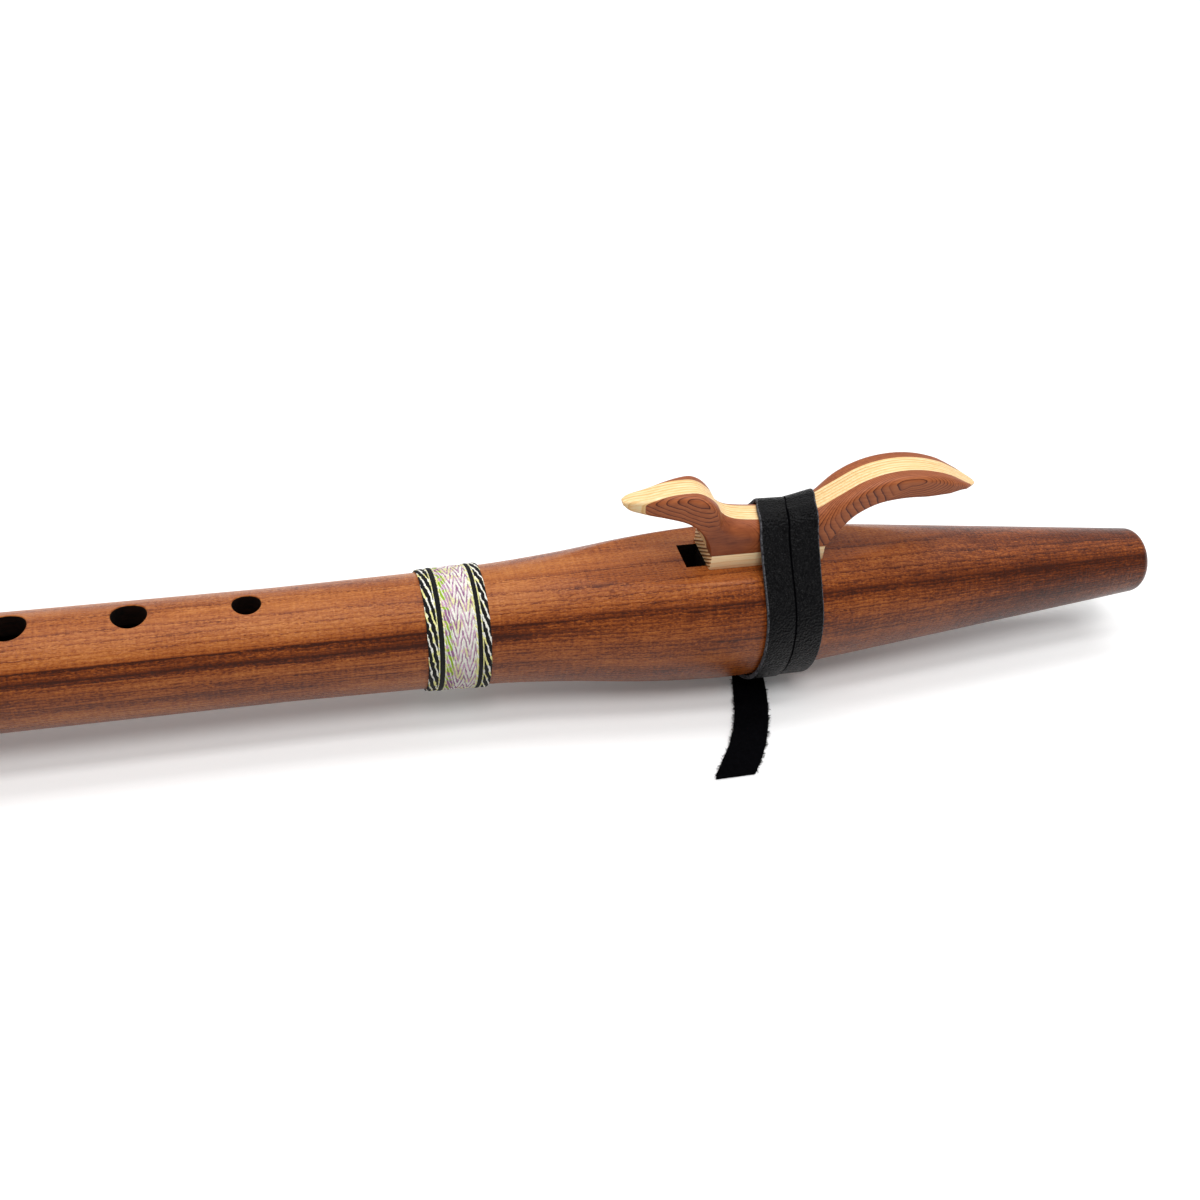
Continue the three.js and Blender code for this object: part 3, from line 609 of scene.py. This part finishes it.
class FLUTE_OT_body(bpy.types.Operator):
    """Turns the body with its two chambers, planes the nest, cuts the holes and splits it at the glue line"""
    bl_idname = "flute.body"
    bl_label = "Body"

    def execute(self, context):
        body = read(context.scene.flute_body)
        outer = outer_profile(body)
        taper_start = BORE_END + PLUG + AIR_LENGTH
        inner = [(MOUTH_LENGTH, BREATH_RADIUS), (taper_start + AIR_TAPER, BREATH_RADIUS), (taper_start, AIR_RADIUS),
                 (BORE_END + PLUG, AIR_RADIUS), (BORE_END + PLUG, 0)]
        path = [(BORE_END, 0), (BORE_END, BORE_RADIUS), (-SOUND_CHAMBER, BORE_RADIUS), *outer, *inner]
        bm = spun([Vector((x, 0, r)) for x, r in path], BODY_STEPS)
        plane_nest(bm, body.nest_height)
        bmesh.ops.recalc_face_normals(bm, faces=bm.faces)
        cutters = [hole_cutter(FIRST_HOLE - i * HOLE_SPACING, radius, body.tube_radius)
                   for i, radius in enumerate(HOLE_RADII)]
        bm = cut(bm, [*cutters, flue_cutter(body.nest_height)])
        # Faces in the bore, the flue and the holes take the near-black bore material, which is painted shade for the
        # unlit inside.
        for face in bm.faces:
            face.material_index = is_inside(face.calc_center_median(), outer, body.nest_height)
        woods = [cedar(body), bore_painted_shade()]
        upper = half_of(bm, (0, 0, 0), (0, 0, 1))
        lower = half_of(bm, (0, 0, 0), (0, 0, -1))
        bm.free()
        add_piece("body_upper", upper, "flute", ["body_upper_half"], woods)
        add_piece("body_lower", lower, "flute", ["body_lower_half"], woods)
        return {"FINISHED"}


# Woven band.
BAND_PLACE, BAND_CLEARANCE = -85.7, 0.2
# The yarns across the band, from the foot side: width in mm, which yarn, and how far it stands up.
BAND_STRIPS = [
    (3.15, "twist", 0.85), (0.35, "edging", 0.85), (1.55, "black", 1.0), (0.5, "edging", 0.9), (2.15, "mottled", 0.85),
    (7.3, "chevron", 0.9), (0.6, "edging", 0.9), (1.35, "black", 1.0), (0.4, "edging", 0.85), (2.45, "twist_back", 0.9)]
# Rows to a rib, steps round the tube, and the degrees left open where the band's ends meet.
RIB_ROWS, BAND_STEPS, BAND_SEAM = 6, 240, 0.8


class FLUTE_OT_band(bpy.types.Operator):
    """Weaves the band: each strip of yarn is a rib round the tube, and its two ends meet underneath"""
    bl_idname = "flute.band"
    bl_label = "Woven band"

    def execute(self, context):
        band = read(context.scene.flute_band)
        outer = outer_profile(read(context.scene.flute_body))
        white, pale, dark, purple = band.white_yarn, band.pale_yarn, band.dark_yarn, band.purple_yarn
        # What yarn_material is called with: a name, the colours, pitch, lean, share, fold and patches.
        looks = {
            "twist": ("twisted_cotton_black_and_pale", white, pale, dark, 8.2, 4.7, 0.31),
            "twist_back": ("twisted_cotton_pale_and_black", white, pale, dark, 6.4, 3.6, 0.31),
            "black": ("black_cotton_yarn", "#1d1d20", "#242427", dark, 3.4, 4, 0.3),
            "edging": ("pale_cotton_edging", white, "#f6f2b0", pale, 2.6, 2),
            "mottled": ("mottled_cotton_lime_and_mauve", white, "#f3eeb4", purple, 4.2, 4, 0.3, 0,
                        (band.lime_yarn, "#d3a2c8")),
            "chevron": ("chevron_cotton_white_and_mauve", white, "#f4f0bb", purple, 5, 4.6, 0.6, 1.82,
                        ("#d8adc8", "#b58ba6")),
        }
        names = list(looks)
        share = band.width / sum(width for width, _, _ in BAND_STRIPS)
        profile, strip_ends, place = [], [], BAND_PLACE
        for width, kind, height in BAND_STRIPS:
            for i in range(RIB_ROWS):
                along = place + width * share * i / RIB_ROWS
                rise = band.thickness * height * (0.66 + 0.34 * math.sin(math.pi * i / RIB_ROWS) ** 0.5)
                profile.append(Vector((along, 0, radius_at(outer, along) + BAND_CLEARANCE + rise)))
            place += width * share
            strip_ends.append((place, names.index(kind)))
        for end, rise in ((place, band.thickness * 0.4), (place, 0), (BAND_PLACE, 0)):
            profile.append(Vector((end, 0, radius_at(outer, end) + BAND_CLEARANCE + rise)))
        for point in profile:
            point.rotate(Matrix.Rotation(math.radians(180 + BAND_SEAM / 2), 3, "X"))
        bm = bmesh.new()
        verts = [bm.verts.new(point) for point in profile]
        edges = [bm.edges.new(pair) for pair in zip(verts, verts[1:] + verts[:1])]
        bmesh.ops.contextual_create(bm, geom=edges)
        made = bmesh.ops.spin(bm, geom=verts + edges, cent=(0, 0, 0), axis=(1, 0, 0),
                              angle=math.radians(360 - BAND_SEAM), steps=BAND_STEPS, use_merge=False)
        bmesh.ops.contextual_create(bm, geom=edges_of(made["geom_last"]))
        layer = bm.loops.layers.uv.new("band")
        mid_radius = radius_at(outer, BAND_PLACE + band.width / 2)
        for face in bm.faces:
            centre = face.calc_center_median()
            face.material_index = next((index for end, index in strip_ends if centre.x < end), 0)
            middle = math.atan2(centre.y, centre.z)
            for loop in face.loops:
                spot = loop.vert.co
                angle = middle + math.remainder(math.atan2(spot.y, spot.z) - middle, math.tau)
                loop[layer].uv = (angle * mid_radius, spot.x - BAND_PLACE)
        yarns = [yarn_material(*look) for look in looks.values()]
        add_piece("band", bm, "flute", ["woven_band"], yarns, 70)
        return {"FINISHED"}


# Bird block.
BLOCK_FRONT, BASE_LENGTH, BASE_THICKNESS, BASE_CORNER, BASE_RIM = 6.8, 40, 5.5, 0.8, 0.18
NOSE_REACH, BLOCK_LENGTH, BLOCK_HEIGHT, CROWN_ROLL, BELLY_ROLL = 29.4, 122.9, 24.8, 2.2, 1.5
SADDLE_ROLL, SADDLE_ROWS = 6.2, (6.3, 8.2, 13, 14.4)
BLOCK_STEPS = 6
# The block's section rings from the beak to the tail's tip: the top rail's place and height and the underside's, as
# shares of the block's length and height, and the half width's share.
BLOCK_ROWS = [
    (0.000, 0.770, 0.002, 0.718, 0.14), (0.021, 0.806, 0.023, 0.645, 0.32), (0.062, 0.831, 0.066, 0.593, 0.49),
    (0.111, 0.879, 0.115, 0.552, 0.65), (0.155, 0.903, 0.166, 0.488, 0.79), (0.190, 0.895, 0.199, 0.387, 0.90),
    (0.218, 0.831, 0.220, 0.246, 0.97), (0.246, 0.710, 0.233, 0.109, 1), (0.265, 0.569, 0.239, 0, 1),
    (0.302, 0.464, 0.290, 0, 1), (0.367, 0.415, 0.367, 0, 1), (0.440, 0.403, 0.444, 0, 1), (0.493, 0.440, 0.509, 0, 1),
    (0.542, 0.536, 0.565, 0, 1), (0.595, 0.698, 0.587, 0.165, 1), (0.648, 0.863, 0.627, 0.431, 1),
    (0.705, 0.964, 0.688, 0.601, 1), (0.770, 1.000, 0.762, 0.657, 1), (0.835, 0.968, 0.835, 0.649, 0.99),
    (0.900, 0.875, 0.900, 0.653, 0.92), (0.957, 0.730, 0.957, 0.649, 0.65), (1.000, 0.629, 0.999, 0.617, 0.10)]
# The underside turns sharply where the block meets its base plate, so it is three smooth runs of rings.
UNDERSIDE_RUNS = [(0, 8), (8, 13), (13, 21)]


def rail_point(rows, x, z, row, base_top):
    start = BLOCK_FRONT - NOSE_REACH
    points = [Vector((start + entry[x] * BLOCK_LENGTH, base_top + entry[z] * BLOCK_HEIGHT)) for entry in rows]
    return spline(points, row / (len(rows) - 1))


def top_rail(row, base_top):
    return rail_point(BLOCK_ROWS, 0, 1, row, base_top)


def underside_rail(row, base_top):
    first, last = next(run for run in UNDERSIDE_RUNS if row <= run[1])
    point = rail_point(BLOCK_ROWS[first:last + 1], 2, 3, row - first, base_top)
    return Vector((point.x, max(point.y, base_top)))


def block_top_at(place, base_top):
    low, high = 0, len(BLOCK_ROWS) - 1
    for _ in range(40):
        middle = (low + high) / 2
        if top_rail(middle, base_top).x < place:
            low = middle
        else:
            high = middle
    return top_rail(low, base_top).y


def block_section(row, base_top, half_width):
    top, under = top_rail(row, base_top), underside_rail(row, base_top)
    low = min(int(row), len(BLOCK_ROWS) - 2)
    half = half_width * mix(BLOCK_ROWS[low][4], BLOCK_ROWS[low + 1][4], row - low)
    up = top - under
    height = up.length
    up.normalize()
    most = min(half, height) * 0.45
    saddle = ease(row, *SADDLE_ROWS[:2]) - ease(row, *SADDLE_ROWS[2:])
    crown = mix(min(CROWN_ROLL, most), SADDLE_ROLL, saddle)
    keel = min(BELLY_ROLL, most, 0.15 + (under.y - base_top) / 2)
    ring = []
    for side, edge, roll, start in ((1, height - crown, crown, 0), (-1, height - crown, crown, 90),
                                    (-1, keel, keel, 180), (1, keel, keel, 270)):
        for across, lift in arc(side * (half - roll), edge, roll, start, start + 90, 10):
            ring.append(Vector((under.x + up.x * lift, across, under.y + up.y * lift)))
    return ring


class FLUTE_OT_block(bpy.types.Operator):
    """Carves the bird block from its section rings, parts it at the glue lines and adds the base plate"""
    bl_idname = "flute.block"
    bl_label = "Bird block"

    def execute(self, context):
        block, body = read(context.scene.flute_block), read(context.scene.flute_body)
        base_top = body.nest_height + BASE_THICKNESS
        rows = (len(BLOCK_ROWS) - 1) * BLOCK_STEPS
        carved, _ = swept([block_section(i / BLOCK_STEPS, base_top, block.half_width) for i in range(rows + 1)])
        bmesh.ops.recalc_face_normals(carved, faces=carved.faces)
        half = block.core_half_width
        core = half_of(half_of(carved, (0, -half, 0), (0, 1, 0)), (0, half, 0), (0, -1, 0))
        near, far = (half_of(carved, (0, side * half, 0), (0, side, 0)) for side in (-1, 1))
        core_wood = pale_softwood("pale_core_softwood", block.core_wood, (0.02, 1, 0.01), 1.25, 0.65)
        base_wood = pale_softwood("pale_base_softwood", block.base_wood, (0.004, 0.5, 0.87), 1.6, 0.35)
        end_grain = pale_softwood("pale_end_grain", block.base_wood, (0, 0.57, 0.82), 1.15, 3.2)
        cheek_wood = ringed_cedar(block)
        add_piece("block_core_piece", core, "block", ["block_core"], [core_wood])
        add_piece("block_near_piece", near, "block", ["block_near_cheek"], [cheek_wood])
        add_piece("block_far_piece", far, "block", ["block_far_cheek"], [cheek_wood])
        base = bmesh.new()
        bmesh.ops.create_cube(base, size=1)
        bmesh.ops.scale(base, vec=(BASE_LENGTH, 2 * block.half_width, BASE_THICKNESS), verts=base.verts)
        middle = (BLOCK_FRONT + BASE_LENGTH / 2, 0, base_top - BASE_THICKNESS / 2)
        bmesh.ops.translate(base, vec=middle, verts=base.verts)
        # The upright corners are rounded, and then the rims at top and bottom are broken by fine sanding.
        for upright, offset, segments in ((True, BASE_CORNER, 5), (False, BASE_RIM, 2)):
            worked = [edge for edge in base.edges
                      if (abs(edge.verts[0].co.z - edge.verts[1].co.z) > BASE_THICKNESS / 2) == upright]
            bmesh.ops.bevel(base, geom=worked, offset=offset, segments=segments, profile=0.5, affect="EDGES",
                            material=-1)
        for face in base.faces:
            face.material_index = int(abs(face.normal.x) > 0.7)
        add_piece("block_base_plate", base, "block", ["block_base"], [base_wood, end_grain], 30)
        return {"FINISHED"}


# Strap.
STRAP_GAP, STRAP_CLEARANCE, STRAP_PLACE, BLOCK_TRAVEL, TAIL_REACH = 0.5, 0.3, 32.9, 3, 53
# The pressed leather is this much wider than its lane, so that its two turns meet.
LANE_SPREAD = 0.44
# Both turns lie this much closer to the tail on the block's far shoulder, and to the head on its near one.
LEAN_BACK, LEAN_FORWARD = 2.4, 0.9
KNOT_WIDTH, KNOT_THICKNESS, KNOT_CORE = 4, 3.2, 2.75
KNOT_START, KNOT_END = 0.113, 0.2525
# The tails' lines, as shares of their reach: along the bore and across it for the near tail, which lies on the floor,
# and out from the knot and down from it for the far one.
NEAR_TAIL = [(-0.531, -1.12), (-0.458, -1), (-0.313, -0.79), (-0.216, -0.6), (-0.147, -0.4), (-0.085, -0.15),
             (-0.066, 0)]
FAR_TAIL = [(0, 0), (0.06, -0.03), (0.24, -0.02), (0.42, 0.04), (0.56, 0.22), (0.64, 0.52), (0.71, 0.84), (0.85, 0.99),
            (1, 1), (1.25, 1)]
# Stations along the near tail, those of them whose cut edge the nap covers, and loose fibres along it.
NEAR_TAIL_STEPS, NAPPED_ROWS, FIBRES = 60, 56, 620
# Edges within this share of the strap's width from its middle line are those at which the turns meet. They are given
# the black suede as painted shade in the seam between the turns.
SEAM_SHADE_EDGE = 0.43


class StrapRoute:
    """The line of the strap's middle: twice round the body and over the block, with a half knot on the far side."""

    def __init__(self, scene):
        body = read(scene.flute_body)
        self.strap = read(scene.flute_strap)
        self.outer = outer_profile(body)
        self.half_block = read(scene.flute_block).half_width
        self.base_top = body.nest_height + BASE_THICKNESS
        self.belts = {}
        pitch, layer = self.strap.width + STRAP_GAP, self.strap.thickness + STRAP_GAP
        self.left, self.right = STRAP_PLACE - pitch / 2, STRAP_PLACE + pitch / 2
        knot = self.strap.thickness / 2 + STRAP_GAP + KNOT_CORE + math.hypot(KNOT_WIDTH, KNOT_THICKNESS) / 2
        self.knot_lift, self.inner_lift, self.outer_lift = knot, knot - KNOT_CORE, knot + KNOT_CORE
        self.floor = -(self.belt(self.left).body + layer)

    def belt(self, place):
        """The closed line that the strap takes at a place along the bore: a circle round the body, a straight bridge
        to the block's shoulder, a small circle over that and a flat run across the saddle."""
        key = round(place, 2)
        if key not in self.belts:
            width, half = self.strap.width, self.strap.thickness / 2
            body = radius_at(self.outer, place - width / 2 - BLOCK_TRAVEL) + STRAP_CLEARANCE + half
            low, high = (block_top_at(place + side * width / 2, self.base_top) for side in (-1, 1))
            small, across = SADDLE_ROLL + STRAP_CLEARANCE + half, self.half_block - SADDLE_ROLL
            lift = (low + high) / 2 - SADDLE_ROLL
            spread = math.hypot(across, lift)
            normal = math.atan2(lift, across) - math.acos((body - small) / spread)
            bridge = math.sqrt(spread ** 2 - (body - small) ** 2)
            self.belts[key] = SimpleNamespace(body=body, small=small, across=across, lift=lift, normal=normal,
                                              bridge=bridge, lean=(high - low) / width)
        return self.belts[key]

    def on_belt(self, turns, place, lift):
        """A point on the belt and its outward normal. Turns are counted from under the belly up the far side."""
        belt = self.belt(place)
        quarter = math.pi / 2
        part = turns % 1
        side = 1 if part < 0.5 else -1
        place += LEAN_BACK * ease(part, 0.3, 0.42) * (1 - ease(part, 0.46, 0.52))
        place -= LEAN_FORWARD * ease(part, 0.5, 0.57) * (1 - ease(part, 0.56, 0.73))
        runs = [belt.body * (belt.normal + quarter), belt.bridge, belt.small * (quarter - belt.normal), belt.across]
        left = (2 * part if side > 0 else 2 - 2 * part) * sum(runs)
        run = 0
        while run < 3 and left > runs[run]:
            left -= runs[run]
            run += 1
        angle = (left / belt.body - quarter, belt.normal, belt.normal + left / belt.small, quarter)[run]
        normal = Vector((0, math.cos(angle), math.sin(angle)))
        point = Vector((place, 0, 0)) + normal * ((belt.small if run > 1 else belt.body) + lift)
        if run == 1:
            point += Vector((0, -math.sin(angle), math.cos(angle))) * left
        if run > 1:
            point += Vector((0, belt.across - left if run == 3 else belt.across, belt.lift))
        lean = belt.lean * normal.z * ease(point.z, belt.body / 2, belt.lift)
        point.y *= side
        normal.y *= side
        return point, (normal - Vector((lean, 0, 0))).normalized()

    def knot(self, along, start):
        """One of the knot's two strands, which wind round each other one and a half times."""
        point, normal = self.on_belt(mix(KNOT_START, KNOT_END, along), STRAP_PLACE, self.knot_lift)
        twist = ease(along, 0, 1)
        swing = lambda angle: normal * math.cos(angle) + Vector((math.sin(angle), 0, 0))
        return point + swing(start + twist * math.pi * 3) * KNOT_CORE, swing(twist * math.tau), 1

    def near_tail(self, count):
        points = [Vector((STRAP_PLACE + a * TAIL_REACH, b * TAIL_REACH, self.floor)) for a, b in NEAR_TAIL]
        return [(spline(points, i / count), None, -0.28 * (1 - ease(i / count, 0.72, 1))) for i in range(count + 1)]

    def far_tail(self, count):
        start = self.knot(1, math.pi)[0]
        reach, drop = TAIL_REACH - start.y, start.z - self.floor
        points = [Vector((STRAP_PLACE, start.y + a * reach, start.z - b * drop)) for a, b in FAR_TAIL]
        made = []
        for i in range(1, count + 1):
            point = spline(points, i / count)
            point.z = max(point.z, self.floor)
            made.append((point, None, 1 - ease(i / count, 0, 0.42)))
        return made

    def rise_from_belly(self, along):
        """From the near tail on the floor, out from under the belly and up to the knot."""
        place = mix(STRAP_PLACE + NEAR_TAIL[-1][0] * TAIL_REACH, STRAP_PLACE, ease(along, 0, 1))
        low_lift = -self.floor - self.belt(STRAP_PLACE).body
        point, _ = self.on_belt(mix(0.008, KNOT_START, along), place, mix(low_lift, self.outer_lift, ease(along, 0, 1)))
        drawn = ease(along, 0.45, 1)
        point.z = max(point.z, self.floor + (KNOT_THICKNESS - self.strap.thickness) * drawn / 2)
        return point, None, drawn

    def stretch(self, count, start, end, *eased):
        """Stations along the belt. Place, lift and how drawn in it is each ease from one value to another, between
        two shares of the stretch."""
        made = []
        for i in range(1, count + 1):
            along = i / count
            place, lift, drawn = (mix(first, last, ease(along, low, high)) for first, last, low, high in eased)
            made.append((*self.on_belt(mix(start, end, along), place, lift), drawn))
        return made

    def stations(self):
        """Every station from the near tail's end to the far tail's: point, outward normal and how drawn in."""
        left, right, inner, flat = self.left, self.right, self.inner_lift, (0, 0, 0, 1)
        knotted = [i / 60 for i in range(1, 61)]
        return [
            *self.near_tail(NEAR_TAIL_STEPS),
            *(self.rise_from_belly(i / 24) for i in range(1, 25)),
            *(self.knot(along, 0) for along in knotted),
            *self.stretch(60, KNOT_END, 0.5, (STRAP_PLACE, left, 0, 0.5), (inner, 0, 0.06, 0.78), (1, 0, 0, 0.4)),
            *self.stretch(132, 0.5, 1, (left, left, 0, 1), flat, flat),
            *self.stretch(132, 1, 1.5, (left, right, 0.2, 0.66), flat, flat),
            *self.stretch(132, 1.5, 2, (right, right, 0, 1), flat, flat),
            *self.stretch(30, 2, 2 + KNOT_START, (right, STRAP_PLACE, 0.5, 1), (0, inner, 0.05, 1), (0, 1, 0.35, 1)),
            *(self.knot(along, math.pi) for along in knotted),
            *self.far_tail(102),
        ]


def strap_section(width, thickness, drawn):
    """The strap's outline across: rounded cut edges, and lengthwise creases where it is drawn together."""
    a, b = width / 2, thickness / 2
    round_over = b * 0.55
    outline = []
    for u_side, v_side, start in ((1, 1, 0), (-1, 1, 90), (-1, -1, 180), (1, -1, 270)):
        outline += arc(u_side * (a - round_over), v_side * (b - round_over), round_over, start, start + 90, 2)
        if start in (0, 180):
            for share, crease in ((0.33, 0.3), (0.67, 0.12)):
                outline.append((mix(a - round_over, round_over - a, share) * v_side, v_side * b * (1 - crease * drawn)))
    return outline


class FLUTE_OT_strap(bpy.types.Operator):
    """Lays the one strip of leather: two turns round body and block, the half knot and both tails"""
    bl_idname = "flute.strap"
    bl_label = "Leather strap"

    def fray(self, rings, floor, material):
        """Loose fibres of the flesh side along both cut edges of the near tail, up to 1.5 mm long."""
        chance = random.Random(5)
        bm = bmesh.new()
        for _ in range(FIBRES):
            i = chance.randrange(1, len(rings))
            ring, before = rings[i], rings[i - 1]
            side = chance.choice((0, len(ring) // 2))
            middle = sum(ring, Vector()) / len(ring)
            edge = ring[side].lerp(before[side], chance.random())
            out = (ring[side] - middle).normalized() + (ring[side] - before[side]).normalized() * chance.uniform(-1, 1)
            out = (out + Vector((0, 0, chance.uniform(-0.2, 0.5)))).normalized()
            if edge.y < 0.5 - TAIL_REACH:
                continue
            long = chance.uniform(0.3, 1) ** 2 * 1.5
            centre = edge + out * long * 0.4
            centre.z = max(centre.z, floor + 0.1 + abs(out.z) * long / 2)
            turn = out.to_track_quat("Z", "Y").to_matrix().to_4x4()
            bmesh.ops.create_cone(bm, cap_ends=True, segments=4, radius1=0.13, radius2=0.04, depth=long,
                                  matrix=Matrix.Translation(centre) @ turn)
        add_piece("strap_fibres", bm, "block", [], [material], 60)

    def execute(self, context):
        strap = read(context.scene.flute_strap)
        route = StrapRoute(context.scene)
        stations = route.stations()
        rings = []
        for i, (point, normal, drawn) in enumerate(stations):
            heading = (stations[min(i + 1, len(stations) - 1)][0] - stations[max(i - 1, 0)][0]).normalized()
            outward = normal or Vector((0, heading.z, -heading.y))
            outward = (outward - heading * outward.dot(heading)).normalized()
            across = outward.cross(heading)
            pulled = max(drawn, 0)
            outline = strap_section(mix(strap.width + LANE_SPREAD, KNOT_WIDTH, drawn),
                                    mix(strap.thickness, KNOT_THICKNESS, pulled), pulled)
            rings.append([point + across * u + outward * v for u, v in outline])
        bm, rows = swept(rings)
        floor = route.floor - strap.thickness / 2
        for vert in bm.verts:
            vert.co.z = max(vert.co.z, floor)
        # Places 2 to 5 in a ring are the outer side, 10 to 13 the flesh side, and the rest the cut edges. The flesh
        # side's nap covers the near tail's edges. The edges at which the two turns meet take the black suede too, as
        # painted shade in the seam between the turns.
        order = {vert: k for row in rows for k, vert in enumerate(row)}
        napped = {vert for row in rows[:NAPPED_ROWS] for vert in row}
        for face in bm.faces:
            face.material_index = 2
            if len(face.verts) > 4:
                continue
            places = [order[vert] for vert in face.verts]
            # Edges where the two turns meet are painted black as shade in the seam between them.
            inner = abs(face.calc_center_median().x - STRAP_PLACE) < strap.width * SEAM_SHADE_EDGE
            if 2 <= min(places) and max(places) <= 5:
                face.material_index = 0
            elif 10 <= min(places) and max(places) <= 13 or inner or napped.issuperset(face.verts):
                face.material_index = 1
        for sign in (1, -1):
            made = bmesh.ops.bisect_plane(bm, geom=bm.verts[:] + bm.edges[:] + bm.faces[:], dist=WELD,
                                          plane_co=(0, sign * TAIL_REACH, 0), plane_no=(0, sign, 0), clear_outer=True)
            bmesh.ops.contextual_create(bm, geom=edges_of(made["geom_cut"]))
        leather = [grain_leather(strap), suede_and_seam_shade(), cut_edge(strap)]
        add_piece("strap", bm, "block", ["leather_strap"], leather, 50)
        self.fray(rings[:NEAR_TAIL_STEPS + 1], floor, leather[1])
        return {"FINISHED"}


# Stage. The camera stands in millimetres from the splitting edge, and lamps and floor in metres in the frame.
VIEW_YAW, VIEW_PITCH, VIEW_ROLL = 18.5856, 39.3962, 6.4294
VIEW_PLACE = (-136.2375, -327.4189, 289.1510)
FLOOR_HALF, FLOOR_DROP = 12, 0.0002
SOFTBOX_LENGTH, SOFTBOX_POWER = 1.8, 1.35


class FLUTE_OT_stage(bpy.types.Operator):
    """Sets the floor, the lamps, the sky and the camera at the photographed angle"""
    bl_idname = "flute.stage"
    bl_label = "Stage"

    def execute(self, context):
        stage, scene = read(context.scene.flute_stage), context.scene
        turn = Matrix.Identity(4)
        for angle, axis in ((-VIEW_YAW, "Z"), (90 - VIEW_PITCH, "X"), (VIEW_ROLL, "Z")):
            turn @= Matrix.Rotation(math.radians(angle), 4, axis)
        camera = bpy.data.objects.new("camera", bpy.data.cameras.new("camera"))
        camera.data.sensor_width = 36
        camera.data.lens = stage.focal_length
        camera.data.clip_start = 0.01
        camera.matrix_world = Matrix.Translation(TO_FRAME @ Vector(VIEW_PLACE)) @ turn
        scene.collection.objects.link(camera)
        scene.camera = camera

        bm = bmesh.new()
        bmesh.ops.create_grid(bm, x_segments=2, y_segments=2, size=FLOOR_HALF)
        bmesh.ops.translate(bm, vec=(0, 0, -FLOOR_DROP), verts=bm.verts)
        floor = as_object("floor", bm)
        # Matt white paper. It throws less light back than it shows, as a table in a room does.
        material, add = new_material("matt_white_paper_floor")
        looked_at = add("LightPath", output="Is Camera Ray")
        mirrored = add("Math.MAXIMUM", looked_at, looked_at.node.outputs["Is Glossy Ray"])
        shown = add("Mix", {0: mirrored, 6: "#b8b8b8", 7: stage.floor}, output=2, data_type="RGBA")
        glow = add("Math.MULTIPLY", looked_at, 0.07)
        glow = add("Emission", {"Color": "#ffffff", "Strength": glow})
        add("OutputMaterial", {"Surface": add("AddShader", add("BsdfDiffuse", {"Color": shown}), glow)})
        floor.data.materials.append(material)

        # A broad lamp over the viewer only fills the near side, and two long softboxes over the flute, with a width,
        # give the wood a line of gloss from end to end.
        for name, strength, place, width in (("fill_lamp", stage.fill_light, (-0.12, -0.5, 0.94), 0),
                                             ("key_lamp", stage.key_light, (0.15, -0.19, 1.2), 0.2),
                                             ("far_lamp", stage.far_light, (0.15, 0.28, 1.2), 0.36)):
            lamp = bpy.data.lights.new(name, "AREA" if width else "SUN")
            if width:
                lamp.shape, lamp.size, lamp.size_y = "RECTANGLE", SOFTBOX_LENGTH, width
                # A softbox needs more power the further it hangs over the flute.
                lamp.energy = strength * SOFTBOX_POWER * math.pi * (place[1] ** 2 + place[2] ** 2)
            else:
                lamp.energy, lamp.angle = strength, math.radians(20)
            ob = bpy.data.objects.new(name, lamp)
            ob.visible_glossy = width > 0
            ob.location = place
            aim = Vector((place[0] if width else 0, 0, 0)) - ob.location
            ob.rotation_euler = aim.to_track_quat("-Z", "Y").to_euler()
            scene.collection.objects.link(ob)
        world = scene.world or bpy.data.worlds.new("world")
        scene.world = world
        world.use_nodes = True
        world.node_tree.nodes.clear()
        add = partial(node, world.node_tree)
        # White paper stands behind the flute, and the room before it is dim. The camera itself sees plain white.
        back = add("SeparateXYZ", add("TexCoord", output="Generated"), output="Y")
        soft = add("MapRange", back, -0.4, 0.9, stage.room, stage.sky)
        strength = add("MapRange", {0: add("LightPath", output="Is Camera Ray"), 3: soft})
        sky = add("Background", {"Color": "#ffffff", "Strength": strength})
        add("OutputWorld", {"Surface": sky})
        scene.view_settings.view_transform = "Standard"
        return {"FINISHED"}


class FLUTE_PT_panel(bpy.types.Panel):
    """Lists the pieces of the flute in the 3D view's sidebar"""
    bl_label = "Flute"
    bl_idname = "FLUTE_PT_panel"
    bl_space_type = "VIEW_3D"
    bl_region_type = "UI"
    bl_category = "Flute"

    def draw(self, context):
        for name, settings, operator in STEPS:
            box = self.layout.box()
            box.label(text=name)
            for key in settings.__annotations__:
                box.prop(getattr(context.scene, "flute_" + name), key)
            box.operator(operator.bl_idname)


STEPS = [
    ("stage", StageSettings, FLUTE_OT_stage),
    ("body", FluteBodySettings, FLUTE_OT_body),
    ("band", BandSettings, FLUTE_OT_band),
    ("block", BlockSettings, FLUTE_OT_block),
    ("strap", StrapSettings, FLUTE_OT_strap),
]


def register():
    for name, settings, operator in STEPS:
        bpy.utils.register_class(settings)
        bpy.utils.register_class(operator)
        setattr(bpy.types.Scene, "flute_" + name, bpy.props.PointerProperty(type=settings))
    bpy.utils.register_class(FLUTE_PT_panel)


def unregister():
    bpy.utils.unregister_class(FLUTE_PT_panel)
    for name, settings, operator in reversed(STEPS):
        delattr(bpy.types.Scene, "flute_" + name)
        bpy.utils.unregister_class(operator)
        bpy.utils.unregister_class(settings)


def main():
    register()
    for name, _, _ in STEPS:
        getattr(bpy.ops.flute, name)()


if __name__ == "__main__":
    main()
